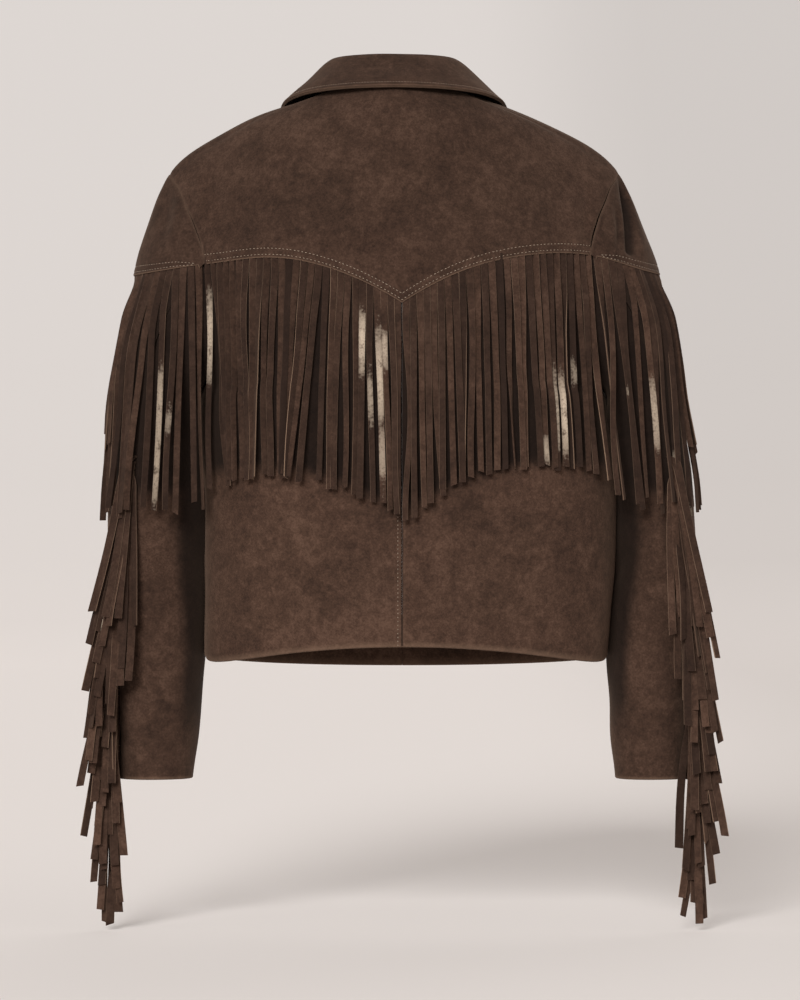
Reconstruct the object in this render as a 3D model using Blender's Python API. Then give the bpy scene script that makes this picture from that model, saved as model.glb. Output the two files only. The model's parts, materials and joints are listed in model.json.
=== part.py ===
"""Construction solids of a fringed suede jacket, filled out with no wearer.

Metres, +Z up, the front faces -Y, the wearer's left is +X.  The origin lies between the
two points where the collar crosses the shoulders, where a wearer carries the weight.

One surface carries each side of the body: its rows run from the centre line (or the
neckline) out to the side seam (or the armhole), up the back, over the shoulder and down
the front.  One tube carries each sleeve, from the armhole to the cuff.  Every piece is a
wall made from points of these two surfaces, moved out.
"""

import math
from collections import Counter, namedtuple
from functools import lru_cache

import bmesh
import bpy
from mathutils import Vector

# ---- Driving sizes -----------------------------------------------------------------------

MM = 0.001
SUEDE = 1.5 * MM            # one layer of suede
SEAM_GAP = 0.3 * MM         # between neighbouring pieces
STRIP = 1.2 * MM            # thickness of a fringe strip
SEAM_LAP = 8 * MM           # how far sleeve panels and cap fringe run up under the cap yoke
COLLAR_THICK = 3.0 * MM     # two layers
BACK_FRINGE_LENGTH = {1: 212 * MM, -1: 203 * MM}    # by side, left 1 and right -1
CAP_FRINGE_LENGTH = 232 * MM
BACK_FRINGE_FLARE = {1: 6 * MM, -1: 22 * MM}        # how far its outer end swings outwards
CAP_FRINGE_FLARE = {1: 0.0, -1: 18 * MM}            # and the cap fringe's inner end at the back
BACK_FLARE_POWER, CAP_FLARE_POWER = 3, 4            # the higher, the nearer to that end it begins
FOLLOW_TURN = 0.5           # cap fringe follows the sleeve up to this share of the way to a notch
CAP_EDGE_LOW = -171 * MM    # height of the cap yoke's lower edge on the sleeve's outer side
SLEEVE_ROUNDNESS = 2.2      # 2 is an ellipse, more is squarer

# Distance of each layer's inner and outer face from the body or sleeve surface.
PANEL_LAYER = (-SUEDE, 0.0)
FRINGE_LAYER = (SEAM_GAP, SEAM_GAP + STRIP)
YOKE_LAYER = (2 * SEAM_GAP + STRIP, 2 * SEAM_GAP + STRIP + SUEDE)

BROWN, LIGHT_BROWN, DARK_BROWN = (0.062, 0.038, 0.026), (0.075, 0.047, 0.032), (0.045, 0.028, 0.02)

# ---- The body surface, in millimetres ------------------------------------------------------
# x0 y0 z0: the row's start on the centre line or neckline.  x1 y1 z1: its end on the side
# seam or armhole.  turn: how far the row has turned there, in degrees, forward on the back
# and backward (negative) on the front.  reach0, reach1: how long it keeps each end's
# direction.  lift0, lift1: its rise over each end, just inside it.

BodyRow = namedtuple("BodyRow", "name x0 y0 z0 x1 y1 z1 turn reach0 reach1 lift0 lift1")
BODY_ROWS = (
    BodyRow("back hem", 0, 118, -539, 201.5, 0, -551, 90, 133, 78, -10, -11),
    BodyRow("back waist", 0, 124, -430, 205.5, 0, -430, 90, 136, 82, 0, 0),
    BodyRow("back ribs", 0, 129, -350, 206, 0, -350, 90, 136, 85, 0, 0),
    BodyRow("back underarm", 0, 131, -290, 203.5, 0, -297, 88, 134, 86, 0, 0),
    BodyRow("blade low", 0, 132, -265, 194, 42, -274, 62, 103, 68, 2, 2),
    BodyRow("blade", 0, 132, -236, 188, 65, -225, 48, 94, 60, 18, 3),
    BodyRow("back yoke edge", 0, 130.5, -203, 189, 71, -158, 41, 89, 57, 57, 2),
    BodyRow("yoke low", 0, 127, -145, 197, 59, -124, 37, 92, 58, 24, 8),
    BodyRow("yoke middle", 0, 118.5, -74, 207, 42, -101, 31, 88, 52, 4, 16),
    BodyRow("yoke high", 0, 104, -12, 213.5, 27, -86, 23, 78, 42, -6, 28),
    BodyRow("neck centre back", 0, 68, 22, 219.5, 13, -77, 13, 70, 32, -9, 36),
    BodyRow("neck back", 45, 50, 12, 222, 3, -71.5, 6, 60, 24, -18, 34),
    BodyRow("neck side", 78, 10, 6, 223, -5, -70, 2, 49, 22, -17, 32),
    BodyRow("shoulder seam", 80, -10, 3, 222.5, -14, -72, 0, 48, 24, -17, 30),
    BodyRow("front neck side", 75, -34, -10, 217, -30, -81, -2, 48, 32, -16, 26),
    BodyRow("front neck", 56, -60, -32, 207, -47, -99, -8, 52, 42, -14, 20),
    BodyRow("front neck low", 29, -77, -57, 195, -61, -127, -14, 60, 52, -8, 16),
    BodyRow("neck centre front", 1.5, -82, -72, 186, -70, -158, -22, 64, 58, -14, 18),
    BodyRow("chest high", 1.5, -101, -122, 184, -70, -195, -38, 84, 52, -10, 14),
    BodyRow("chest", 1.5, -114, -182, 186, -60, -233, -54, 96, 54, -6, 8),
    BodyRow("chest low", 1.5, -121, -238, 194, -38, -275, -66, 108, 64, -4, 2),
    BodyRow("front underarm", 1.5, -123, -290, 203.5, 0, -297, -88, 134, 80, 0, 0),
    BodyRow("front ribs", 1.5, -122, -350, 206, 0, -350, -90, 136, 80, 0, 0),
    BodyRow("front waist", 1.5, -118, -430, 205.5, 0, -430, -90, 136, 78, 0, 0),
    BodyRow("front hem", 1.5, -112, -564, 201.5, 0, -551, -90, 133, 74, 0, -6),
)
ROW = {row.name: float(number) for number, row in enumerate(BODY_ROWS)}
LAST_ROW = ROW["front hem"]
UNDERARM_BACK, UNDERARM_FRONT = ROW["back underarm"], ROW["front underarm"]
BACK_NOTCH, FRONT_NOTCH = ROW["back yoke edge"], ROW["neck centre front"]
NECK_BACK, SHOULDER_SEAM = ROW["neck centre back"], ROW["shoulder seam"]
PANEL_TOP = BACK_NOTCH + 0.15           # the back panels end here, under the yoke
NOTCH_END = FRONT_NOTCH - 0.15          # and here the cap yoke's front end begins

# ---- The sleeve tube, in millimetres -------------------------------------------------------
# x y z: the ring's centre.  wide, deep: half its size across and front to back.
# seam: angle of the fringed seam, from straight out (0) towards the back (90).

SleeveRing = namedtuple("SleeveRing", "name x y z wide deep seam")
SLEEVE_RINGS = (
    SleeveRing("upper arm", 247.5, -4, -325, 38.5, 62, 77),
    SleeveRing("above elbow", 253.5, -8, -385, 38.5, 58.5, 72),
    SleeveRing("elbow", 255.5, -13, -445, 39, 54.5, 64),
    SleeveRing("forearm", 247.5, -24, -550, 41, 48.5, 40),
    SleeveRing("wrist", 247.5, -31, -620, 39, 45, 24),
    SleeveRing("cuff", 249, -36, -675, 36.5, 42, 12),
)
UPPER_ARM, CUFF = 1.0, float(len(SLEEVE_RINGS))
UNDER_SEAM_ROW = ROW["chest low"]       # the sleeve's other seam leaves the armhole here
UNDER_SEAM_TURN = 12.0                  # and winds on by this many degrees to the cuff
HALF_SEAM_TURN = 0.2                    # half a seam's gap round the sleeve, in degrees

# ---- How the hung jacket settles, in millimetres -------------------------------------------
# Sideways moves at height z: of the middle, of the body's sides and of the sleeves' outsides.

Settle = namedtuple("Settle", "z middle sides outsides")
SETTLES = (
    Settle(-830, 0, -1, 0), Settle(-680, 0, -2, 0), Settle(-557, 0, -4, 0),
    Settle(-430, 0, -9, 0), Settle(-300, 0, -2, 4), Settle(-200, 0, 2.5, 5),
    Settle(-155, 2, 4.5, 6), Settle(-65, 7.5, 7.5, 8.5), Settle(50, 8.5, 8.5, 8.5),
)
SETTLE_X = (0, 200, 280)                # how far out the three columns apply
YOKE_END_DROP = 4.5                     # the yoke's left end hangs lower, its right end higher
YOKE_END_X, YOKE_END_Z = 185, -160
YOKE_END_WIDTH, YOKE_END_HEIGHT = 50, 70

# ---- The collar, in millimetres ------------------------------------------------------------
# row: where its seam sits along the body rows.  fold: top of the stand.  edge: outer edge.

CollarStation = namedtuple("CollarStation", "name row fold_x fold_y fold_z edge_x edge_y edge_z")
COLLAR_STATIONS = (
    CollarStation("centre back", 10.0, 0, 57, 45, 0, 103, 12),
    CollarStation("back", 10.5, 25, 52, 45, 38, 98, 11.5),
    CollarStation("back corner", 11.0, 48, 39, 44.5, 74, 78, 9.5),
    CollarStation("side back", 11.5, 58, 25, 43, 97, 48, 6.5),
    CollarStation("side", 12.0, 61, 9, 38.5, 110, 15, 2.5),
    CollarStation("shoulder seam", 13.0, 63, -10, 31, 114, -12, -2),
    CollarStation("front corner", 14.0, 61, -32, 20, 117, -40, -18),
    CollarStation("front", 15.0, 52, -58, 0, 118, -76, -64),
    CollarStation("front low", 16.0, 31, -80, -26, 104, -99, -108),
    CollarStation("point", NOTCH_END, 7, -91, -48, 84, -110, -140),
)
# across: share of the way from the fold to the outer edge.  rise: height over that line.
FallRow = namedtuple("FallRow", "name across rise")
FALL_ROWS = (
    FallRow("inside", 0.02, -5.9), FallRow("roll inside", -0.01, -1.7), FallRow("fold", 0.035, 2.4),
    FallRow("roll outside", 0.2, 3.8), FallRow("middle", 0.6, 1.8), FallRow("edge", 1.0, 0.0),
)

# ---- The reach of the fringe ----------------------------------------------------------------
# share: of the fringe's length.  near, far: its inner and outer face, in millimetres, from
# where a strip hangs or rests.

FringeRow = namedtuple("FringeRow", "share near far")
FRINGE_ROWS = (
    FringeRow(0.05, 1.3, 2.9), FringeRow(0.12, 2.0, 4.0), FringeRow(0.22, 2.6, 5.2),
    FringeRow(0.36, 3.0, 6.3), FringeRow(0.55, 3.2, 7.4), FringeRow(0.78, 3.4, 8.4),
    FringeRow(1.0, 3.5, 9.0),
)
# inward: how far the seam fringe runs in from the seam.  reach: how far it stands out from
# the seam.  thick: front to back.  All in millimetres.
SeamFringeRow = namedtuple("SeamFringeRow", "name z inward reach thick")
SEAM_FRINGE_ROWS = (
    SeamFringeRow("top", -424, 0, 22, 8), SeamFringeRow("elbow", -475, 0, 25, 10),
    SeamFringeRow("forearm", -540, 0, 30, 12), SeamFringeRow("wrist", -610, 0, 34, 14),
    SeamFringeRow("cuff", -677, 0, 37, 14), SeamFringeRow("below cuff", -692, 9, 37, 14),
    SeamFringeRow("tassel", -730, 11, 37, 14), SeamFringeRow("tassel low", -775, 8, 33, 12),
    SeamFringeRow("ends", -805, 2, 21, 10), SeamFringeRow("last end", -825, -4, 11, 6),
)
SEAM_FRINGE_HEADING = 10.0              # degrees behind straight out


# ---- Reading the tables ----------------------------------------------------------------------

def ease(values, places, place):
    """Smooth curve through values at rising places, with no overshoot between two of them."""
    last = len(values) - 1
    place = min(max(place, places[0]), places[last])
    cell = max(n for n in range(last) if places[n] <= place)
    widths = [places[n + 1] - places[n] for n in range(last)]
    steps = [(values[n + 1] - values[n]) / widths[n] for n in range(last)]

    def slope(n):
        before, after = steps[max(n - 1, 0)], steps[min(n, last - 1)]
        return 0.0 if before * after <= 0 else 2 * before * after / (before + after)

    t = (place - places[cell]) / widths[cell]
    return (
        (1 + 2 * t) * (1 - t) ** 2 * values[cell]
        + t * (1 - t) ** 2 * widths[cell] * slope(cell)
        + t * t * (3 - 2 * t) * values[cell + 1]
        - t * t * (1 - t) * widths[cell] * slope(cell + 1)
    )


def table_row(table, place, places=None):
    """The row at a place between a table's rows, eased column by column."""
    places = places or range(len(table))
    columns = [column for column in table[0]._fields if column != "name"]
    row = {column: ease([getattr(r, column) for r in table], places, place) for column in columns}
    return table[0]._replace(**row)


def solved(measure, target, low, high):
    """Where a steadily falling or rising measure meets the target, by halving."""
    rising = measure(high) > measure(low)
    for _ in range(22):
        middle = (low + high) / 2
        if (measure(middle) < target) == rising:
            low = middle
        else:
            high = middle
    return (low + high) / 2


def spread(low, high, count):
    return [low + (high - low) * n / count for n in range(count + 1)]


# ---- The body surface ------------------------------------------------------------------------

body_rows_read = {}


def body(v, u):
    """Point of the left body surface: v counts rows from the back hem, u runs outwards."""
    if v not in body_rows_read:
        body_rows_read[v] = table_row(BODY_ROWS, v)
    row = body_rows_read[v]
    turn = math.radians(row.turn)
    start = Vector((row.x0, row.y0, row.z0))
    leave = start + Vector((row.reach0, 0, row.lift0))
    end = Vector((row.x1, row.y1, row.z1))
    arrive = end + Vector((-row.reach1 * math.cos(turn), row.reach1 * math.sin(turn), row.lift1))
    w = 1 - u
    return (start * w ** 3 + leave * (3 * u * w * w) + arrive * (3 * u * u * w) + end * u ** 3) * MM


def normal(surface, a, b, a_limits, b_limits, step=0.004):
    """Unit normal of surface(a, b), from points just beside it and inside its limits."""
    a0, a1 = max(a - step, a_limits[0]), min(a + step, a_limits[1])
    b0, b1 = max(b - step, b_limits[0]), min(b + step, b_limits[1])
    return (surface(a1, b) - surface(a0, b)).cross(surface(a, b1) - surface(a, b0)).normalized()


def body_normal(v, u):
    return normal(body, v, u, (0, LAST_ROW), (0, 1))


# ---- The sleeve tube ---------------------------------------------------------------------------

def armhole():
    """Rows round the armhole, from the underarm up the back, and the length to each."""
    rows, lengths = [UNDERARM_BACK], [0.0]
    while rows[-1] < UNDERARM_FRONT:
        rows.append(rows[-1] + 0.25)
        lengths.append(lengths[-1] + (body(rows[-1], 1) - body(rows[-2], 1)).length)
    return rows, lengths


ARMHOLE_ROWS, ARMHOLE_LENGTHS = armhole()


def angle_of_row(v):
    """Angle round the sleeve that belongs to an armhole row: 180 underarm, 90 back, 0 top."""
    return 180 - 360 * ease(ARMHOLE_LENGTHS, ARMHOLE_ROWS, v) / ARMHOLE_LENGTHS[-1]


@lru_cache(maxsize=None)
def row_of_angle(angle):
    within = angle - 360 if angle > 180 else angle
    return solved(angle_of_row, within, UNDERARM_BACK, UNDERARM_FRONT)


rings_read = {}


def ring(s):
    if s not in rings_read:
        rings_read[s] = table_row(SLEEVE_RINGS, s - UPPER_ARM)
    return rings_read[s]


def ring_point(s, angle):
    """Point of the sleeve's tube at ring s (1 is the upper arm) and an angle in degrees."""
    c, d = math.cos(math.radians(angle)), math.sin(math.radians(angle))
    power = 2 / SLEEVE_ROUNDNESS
    x = ring(s).x + ring(s).wide * math.copysign(abs(c) ** power, c)
    y = ring(s).y + ring(s).deep * math.copysign(abs(d) ** power, d)
    return Vector((x, y, ring(s).z)) * MM


def sleeve(s, angle):
    """Point of the left sleeve: s is 0 at the armhole, 1 at the upper arm, then by rings."""
    if s >= UPPER_ARM:
        return ring_point(s, angle)
    start, end = body(row_of_angle(angle), 1), ring_point(UPPER_ARM, angle)
    length = (end - start).length
    away = math.sin(math.radians(abs(angle)) / 2)
    leave = Vector((0.45 + 0.5 * away, 0, -0.9 + 0.45 * away))
    arrive = ring_point(UPPER_ARM + 0.05, angle) - end
    return (
        start * ((1 + 2 * s) * (1 - s) ** 2)
        + leave.normalized() * (length * s * (1 - s) ** 2)
        + end * (s * s * (3 - 2 * s))
        - arrive.normalized() * (length * s * s * (1 - s))
    )


def sleeve_normal(s, angle):
    def tube(a, b):
        return sleeve(a, 100 * b)
    return normal(tube, s, angle / 100, (0, CUFF), (-1.8, 2.4))


def seam_normal(v):
    """Direction shared by the walls that meet at the armhole, halfway between the two."""
    return (body_normal(v, 1) + sleeve_normal(0.01, angle_of_row(v))).normalized()


def cap_edge(angle, above=0.0):
    """Ring number of the cap yoke's lower edge at an angle, or of a line above it."""
    notch = body(BACK_NOTCH, 1).z
    share = min(abs(angle) / angle_of_row(BACK_NOTCH), 1.0)
    height = CAP_EDGE_LOW + (notch - CAP_EDGE_LOW) * share ** 3 + above
    if height >= sleeve(0, angle).z:
        return 0.0
    return solved(lambda s: sleeve(s, angle).z, height, 0.0, UPPER_ARM)


# ---- Walls -------------------------------------------------------------------------------------

def settled(point, side):
    """A point of the left half, put on its side and moved as the hung jacket settles."""
    x, y, z = point.x * side, point.y, point.z
    moves = table_row(SETTLES, z / MM, [row.z for row in SETTLES])
    shift = ease(moves[1:], SETTLE_X, abs(x) / MM)
    out = (abs(x) / MM - YOKE_END_X) / YOKE_END_WIDTH
    up = (z / MM - YOKE_END_Z) / YOKE_END_HEIGHT
    drop = YOKE_END_DROP * side * math.exp(-out ** 2 - up ** 2)
    return Vector((x + shift * MM, y, z - drop * MM))


def suede(name, colour):
    material = bpy.data.materials.new(name)
    material.use_nodes = True
    shader = material.node_tree.nodes["Principled BSDF"]
    shader.inputs["Base Color"].default_value = (*colour, 1.0)
    shader.inputs["Roughness"].default_value = 0.9
    return material


def finish(name, mesh, colour):
    """Turn a closed bmesh into one named object with its own material."""
    bmesh.ops.recalc_face_normals(mesh, faces=mesh.faces)
    data = bpy.data.meshes.new(name)
    mesh.to_mesh(data)
    mesh.free()
    data.shade_smooth()
    data.set_sharp_from_angle(angle=math.radians(50))
    data.materials.append(suede(name, colour))
    bpy.context.scene.collection.objects.link(bpy.data.objects.new(name, data))


def wall(name, cells, inner, outer, colour):
    """A closed wall: cells are quads of keys, inner and outer hold each key's two points.

    Each cell is halved along the same diagonal on every layer, so that layers nest.
    """
    mesh = bmesh.new()
    near = {key: mesh.verts.new(point) for key, point in inner.items()}
    far = {key: mesh.verts.new(point) for key, point in outer.items()}
    sides = Counter()
    for cell in cells:
        for corners in (cell[:3], (cell[0], *cell[2:])):
            mesh.faces.new([near[key] for key in corners])
            mesh.faces.new([far[key] for key in reversed(corners)])
        sides.update(zip(cell, cell[1:] + cell[:1]))
    for a, b in sides:
        if (b, a) not in sides:
            mesh.faces.new((near[b], near[a], far[a], far[b]))
    finish(name, mesh, colour)


def keyed(inner, outer):
    """Cells and keyed points of two grids with the same rows and columns."""
    rows, columns = range(len(inner) - 1), range(len(inner[0]) - 1)
    cells = [((i, j), (i, j + 1), (i + 1, j + 1), (i + 1, j)) for i in rows for j in columns]
    near = {(i, j): p for i, line in enumerate(inner) for j, p in enumerate(line)}
    far = {(i, j): p for i, line in enumerate(outer) for j, p in enumerate(line)}
    return cells, near, far


def moved_out(grid, outward, distance, side):
    return [[settled(p + d * distance, side) for p, d in zip(*pair)] for pair in zip(grid, outward)]


def layer_wall(name, side, grid, outward, layer, colour):
    """A wall of one thickness, from a layer's inner face to its outer face."""
    faces = [moved_out(grid, outward, distance, side) for distance in layer]
    wall(name + ("_left" if side > 0 else "_right"), *keyed(*faces), colour)


# ---- Body panels ---------------------------------------------------------------------------------

HALF_SEAM = 0.0006                      # half a seam's gap, as a share of a body row
COLUMNS = spread(0, 1, 11)


def body_grid(rows, columns, low=0.0):
    """Points and directions of the body surface, set back by half a gap at its edges."""
    points = [[body(v, min(max(u, low), 1 - HALF_SEAM)) for u in columns] for v in rows]
    outward = [
        [seam_normal(v) if u == 1 and UNDERARM_BACK < v < UNDERARM_FRONT else body_normal(v, u)
         for u in columns] for v in rows
    ]
    return points, outward


def back_panel(side):
    """Half of the back, from the centre seam to the side seam, hem to under the yoke."""
    rows = spread(0, 2, 4) + [2.5] + spread(UNDERARM_BACK, BACK_NOTCH, 6) + [PANEL_TOP]
    points, outward = body_grid(rows, COLUMNS, HALF_SEAM)
    layer_wall("back_panel", side, points, outward, PANEL_LAYER, BROWN)


SET_BACK = 0.01                         # half the shoulder seam's gap, as a share of a row


def front_panel(side):
    """Half of the front, from the shoulder seam to the hem."""
    rows = [SHOULDER_SEAM + SET_BACK, 14, 15, 16, NOTCH_END, 17, 18, 19, 20, 20.5, *spread(21, 24, 6)]
    points, outward = body_grid(rows, spread(0, 1, 9))
    layer_wall("front_panel", side, points, outward, PANEL_LAYER, BROWN)


def back_yoke():
    """One piece across both shoulder blades and over the shoulders, pointed below."""
    rows = [BACK_NOTCH, PANEL_TOP, 6.5, 7, 8, 9, NECK_BACK, 10.5, 11, 11.5, 12, SHOULDER_SEAM - SET_BACK]
    points, outward = body_grid(rows, COLUMNS)
    cells, inner, outer = [], {}, {}
    for side in (1, -1):
        def key(i, j):
            return (0 if j == 0 and rows[i] <= NECK_BACK else side, i, j)
        for i, j in ((i, j) for i in range(len(rows)) for j in range(len(COLUMNS))):
            inner[key(i, j)] = settled(points[i][j] + outward[i][j] * YOKE_LAYER[0], side)
            outer[key(i, j)] = settled(points[i][j] + outward[i][j] * YOKE_LAYER[1], side)
            if i and j:
                cell = (key(i - 1, j - 1), key(i - 1, j), key(i, j), key(i, j - 1))
                cells.append(cell if side > 0 else cell[::-1])
    wall("back_yoke", cells, inner, outer, LIGHT_BROWN)


# ---- Sleeves -------------------------------------------------------------------------------------

def sleeve_grid(columns):
    """Points and directions of the sleeve, one column of (s, angle) places at a time."""
    points, outward = [], []
    for column in columns:
        length = (sleeve(UPPER_ARM, column[0][1]) - sleeve(0, column[0][1])).length
        set_back = SEAM_GAP / 2 / length
        points.append([sleeve(max(s, set_back), angle) for s, angle in column])
        outward.append([
            seam_normal(row_of_angle(angle)) if s == 0 else sleeve_normal(s, angle)
            for s, angle in column
        ])
    return points, outward


CAP_ROWS = [BACK_NOTCH, PANEL_TOP, 6.5, *spread(7, 15, 8), 15.5, 16, 16.5, NOTCH_END, FRONT_NOTCH]
CAP_ANGLES = [angle_of_row(v) for v in CAP_ROWS]
CAP_END = 0.045                         # ring number of the cap yoke's edge at the notches
LAP_SHARE = 0.6                         # least share of the cap yoke above the lap line
FRONT_ANGLES = [angle_of_row(v) for v in (18, 19, UNDER_SEAM_ROW)]
UNDER_ANGLES = [angle_of_row(v) for v in spread(BACK_NOTCH, UNDERARM_BACK, 6)]
INSIDE_ANGLES = [angle_of_row(v) + 360 for v in (20.5, UNDER_SEAM_ROW)]


def cap_lines(angle):
    """Ring numbers of the lap line and the cap yoke's lower edge, short at the notches."""
    edge = max(cap_edge(angle), CAP_END)
    return max(cap_edge(angle, SEAM_LAP), LAP_SHARE * edge), edge


def cap_yoke(side):
    """Cap of the sleeve, from the armhole down to its own lower edge, notch to notch."""
    columns = []
    for angle in CAP_ANGLES[1:-1]:
        lap, edge = cap_lines(angle)
        columns.append([(s, angle) for s in (0.0, lap / 2, lap, edge)])
    points, outward = sleeve_grid(columns)
    layer_wall("sleeve_cap_yoke", side, points, outward, YOKE_LAYER, LIGHT_BROWN)


def wound(s, angle, last):
    """An angle of the upper arm, carried down between two seams that wind round the sleeve."""
    first = CAP_ANGLES[0]
    if s <= UPPER_ARM:
        return angle
    low = first + ring(s).seam - ring(UPPER_ARM).seam
    high = last + UNDER_SEAM_TURN * (s - UPPER_ARM) / (CUFF - UPPER_ARM)
    return low + (angle - first) / (last - first) * (high - low)


def sleeve_panel(name, side, angles, capped):
    """A sleeve panel between the fringed seam and the other seam, down to the cuff."""
    step = math.copysign(HALF_SEAM_TURN, angles[-1] - angles[0])
    shifted = [angles[0] + step, *angles[1:-1], angles[-1] - step]
    columns = []
    for angle, stop in zip(shifted, angles):
        top = cap_lines(stop)[0] if capped and stop in CAP_ANGLES[1:-1] else 0.0
        places = [top + (UPPER_ARM - top) * share for share in (0, 0.3, 0.65, 1)]
        places += [1.5, 2.0, 3.0, 3.5, 4.0, 5.0, CUFF]
        columns.append([(s, wound(s, angle, angles[-1])) for s in places])
    points, outward = sleeve_grid(columns)
    layer_wall(name, side, points, outward, PANEL_LAYER, BROWN)


def sleeve_panels(side):
    """Top sleeve over the outside, under sleeve beside the body."""
    sleeve_panel("top_sleeve", side, CAP_ANGLES + FRONT_ANGLES, True)
    sleeve_panel("under_sleeve", side, UNDER_ANGLES + INSIDE_ANGLES, False)


# ---- Collar --------------------------------------------------------------------------------------

def both_sides(columns):
    """Columns of the left half, with their mirror images before them."""
    mirrored = [[Vector((-p.x, p.y, p.z)) for p in column] for column in columns[:0:-1]]
    return mirrored + columns


def grid_normals(grid):
    """Unit normals of a grid of points, from each point's neighbours."""
    rows, columns = len(grid) - 1, len(grid[0]) - 1
    normals = []
    for i in range(rows + 1):
        line = []
        for j in range(columns + 1):
            down = grid[min(i + 1, rows)][j] - grid[max(i - 1, 0)][j]
            across = grid[i][min(j + 1, columns)] - grid[i][max(j - 1, 0)]
            line.append(down.cross(across).normalized())
        normals.append(line)
    return normals


def station_fold(station):
    return Vector((station.fold_x, station.fold_y, station.fold_z)) * MM


def station_edge(station):
    return Vector((station.edge_x, station.edge_y, station.edge_z)) * MM


def collar_fall():
    """The part that folds over and lies on the yoke and the fronts."""
    flat = both_sides([[station_fold(station), station_edge(station)] for station in COLLAR_STATIONS])
    columns = []
    for (fold, edge), (up, _) in zip(flat, grid_normals(flat)):
        columns.append([fold.lerp(edge, row.across) + up * (row.rise * MM) for row in FALL_ROWS])
    ways = grid_normals(columns)
    inner = moved_out(columns, ways, -COLLAR_THICK, 1)
    wall("collar_fall", *keyed(inner, moved_out(columns, ways, 0.0, 1)), LIGHT_BROWN)
    return columns, ways


def neckline_inward(v):
    """Direction in the body surface at the neckline that points into the neck."""
    along = Vector((1, 0, 0))
    if v > NECK_BACK + 0.1:
        along = body(v + 0.1, 0) - body(v - 0.1, 0)
    return along.cross(body_normal(v, 0)).normalized()


def collar_stand(fall, ways):
    """The band that rises from the neckline to the fold, as thick as the fall."""
    middle = len(COLLAR_STATIONS) - 1
    inner, outer = [], []
    for station, column, way in zip(COLLAR_STATIONS, fall[middle:], ways[middle:]):
        seam, inward = body(station.row, 0), neckline_inward(station.row)
        down = (column[0] - column[1]).normalized()
        top = column[0] + down * SEAM_GAP
        inner.append([seam + inward * (SEAM_GAP + COLLAR_THICK), top])
        outer.append([seam + inward * SEAM_GAP, top - way[0] * COLLAR_THICK])
    inner, outer = ([[settled(p, 1) for p in line] for line in both_sides(face)] for face in (inner, outer))
    wall("collar_stand", *keyed(inner, outer), DARK_BROWN)


# ---- Fringe --------------------------------------------------------------------------------------

def body_depth(x, z, low, high):
    """How far forward or back the body surface is at x and z, between two of its rows."""
    def across(v):
        return 1.0 if body(v, 1).x < x else solved(lambda u: body(v, u).x, x, 0, 1)
    v = solved(lambda v: body(v, across(v)).z, z, low, high)
    return body(v, across(v)).y


def fringe_wall(name, side, tops, top_ways, columns):
    """A fringe's reach: its sewn edge under the yoke, then the rows of FRINGE_ROWS below it."""
    faces = []
    tops, top_ways = [list(line) for line in tops], [list(line) for line in top_ways]
    for layer, face in zip(FRINGE_LAYER, ("near", "far")):
        grid = moved_out(tops, top_ways, layer, side)
        for number, row in enumerate(FRINGE_ROWS):
            distance = getattr(row, face) * MM
            grid.append([settled(places[number] + way * distance, side) for places, way in columns])
        faces.append(grid)
    wall(name + ("_left" if side > 0 else "_right"), *keyed(*faces), DARK_BROWN)


def back_fringe(side):
    """Hangs from the back yoke's edge, straight down over whatever stands out furthest."""
    columns, back = [], Vector((0, 1, 0))
    rows, ways = body_grid([PANEL_TOP, BACK_NOTCH], COLUMNS, HALF_SEAM)
    for edge in rows[1]:
        places, depth = [], edge.y
        swing = BACK_FRINGE_FLARE[side] * (edge.x / rows[1][-1].x) ** BACK_FLARE_POWER
        for row in FRINGE_ROWS:
            x, z = edge.x + swing * row.share, edge.z - BACK_FRINGE_LENGTH[side] * row.share
            depth = max(depth, body_depth(x, z, 0.0, BACK_NOTCH))
            places.append(Vector((x, depth, z)))
        columns.append((places, back))
    fringe_wall("back_fringe", side, rows, ways, columns)


DEPTH_REACH = 16 * MM                   # strips beside the sleeve hang level with its corner
OUTLINE_STEP = 9                        # degrees


@lru_cache(maxsize=None)
def sleeve_outline(z):
    """The sleeve's outline at a height: points at steps round it, from outside to inside."""
    outline = {}
    for front in (1, -1):
        angles = [front * turn for turn in range(0, 181, OUTLINE_STEP)]
        places = [solved(lambda s: sleeve(s, angle).z, z, 0, CUFF) for angle in angles]
        outline[front] = [sleeve(s, angle) for s, angle in zip(places, angles)]
    return outline


def sleeve_depth(x, z, front):
    """How far back (1) or forward (-1) the sleeve reaches at z, from x to a little further out."""
    points, depth = sleeve_outline(round(z, 4))[front], 0.0
    for place in (x, x + DEPTH_REACH / 2, x + DEPTH_REACH):
        for a, b in zip(points, points[1:]):
            if b.x <= place < a.x:
                across = front * (a.y + (b.y - a.y) * (a.x - place) / (a.x - b.x))
                depth = max(depth, across)
    return depth


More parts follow.
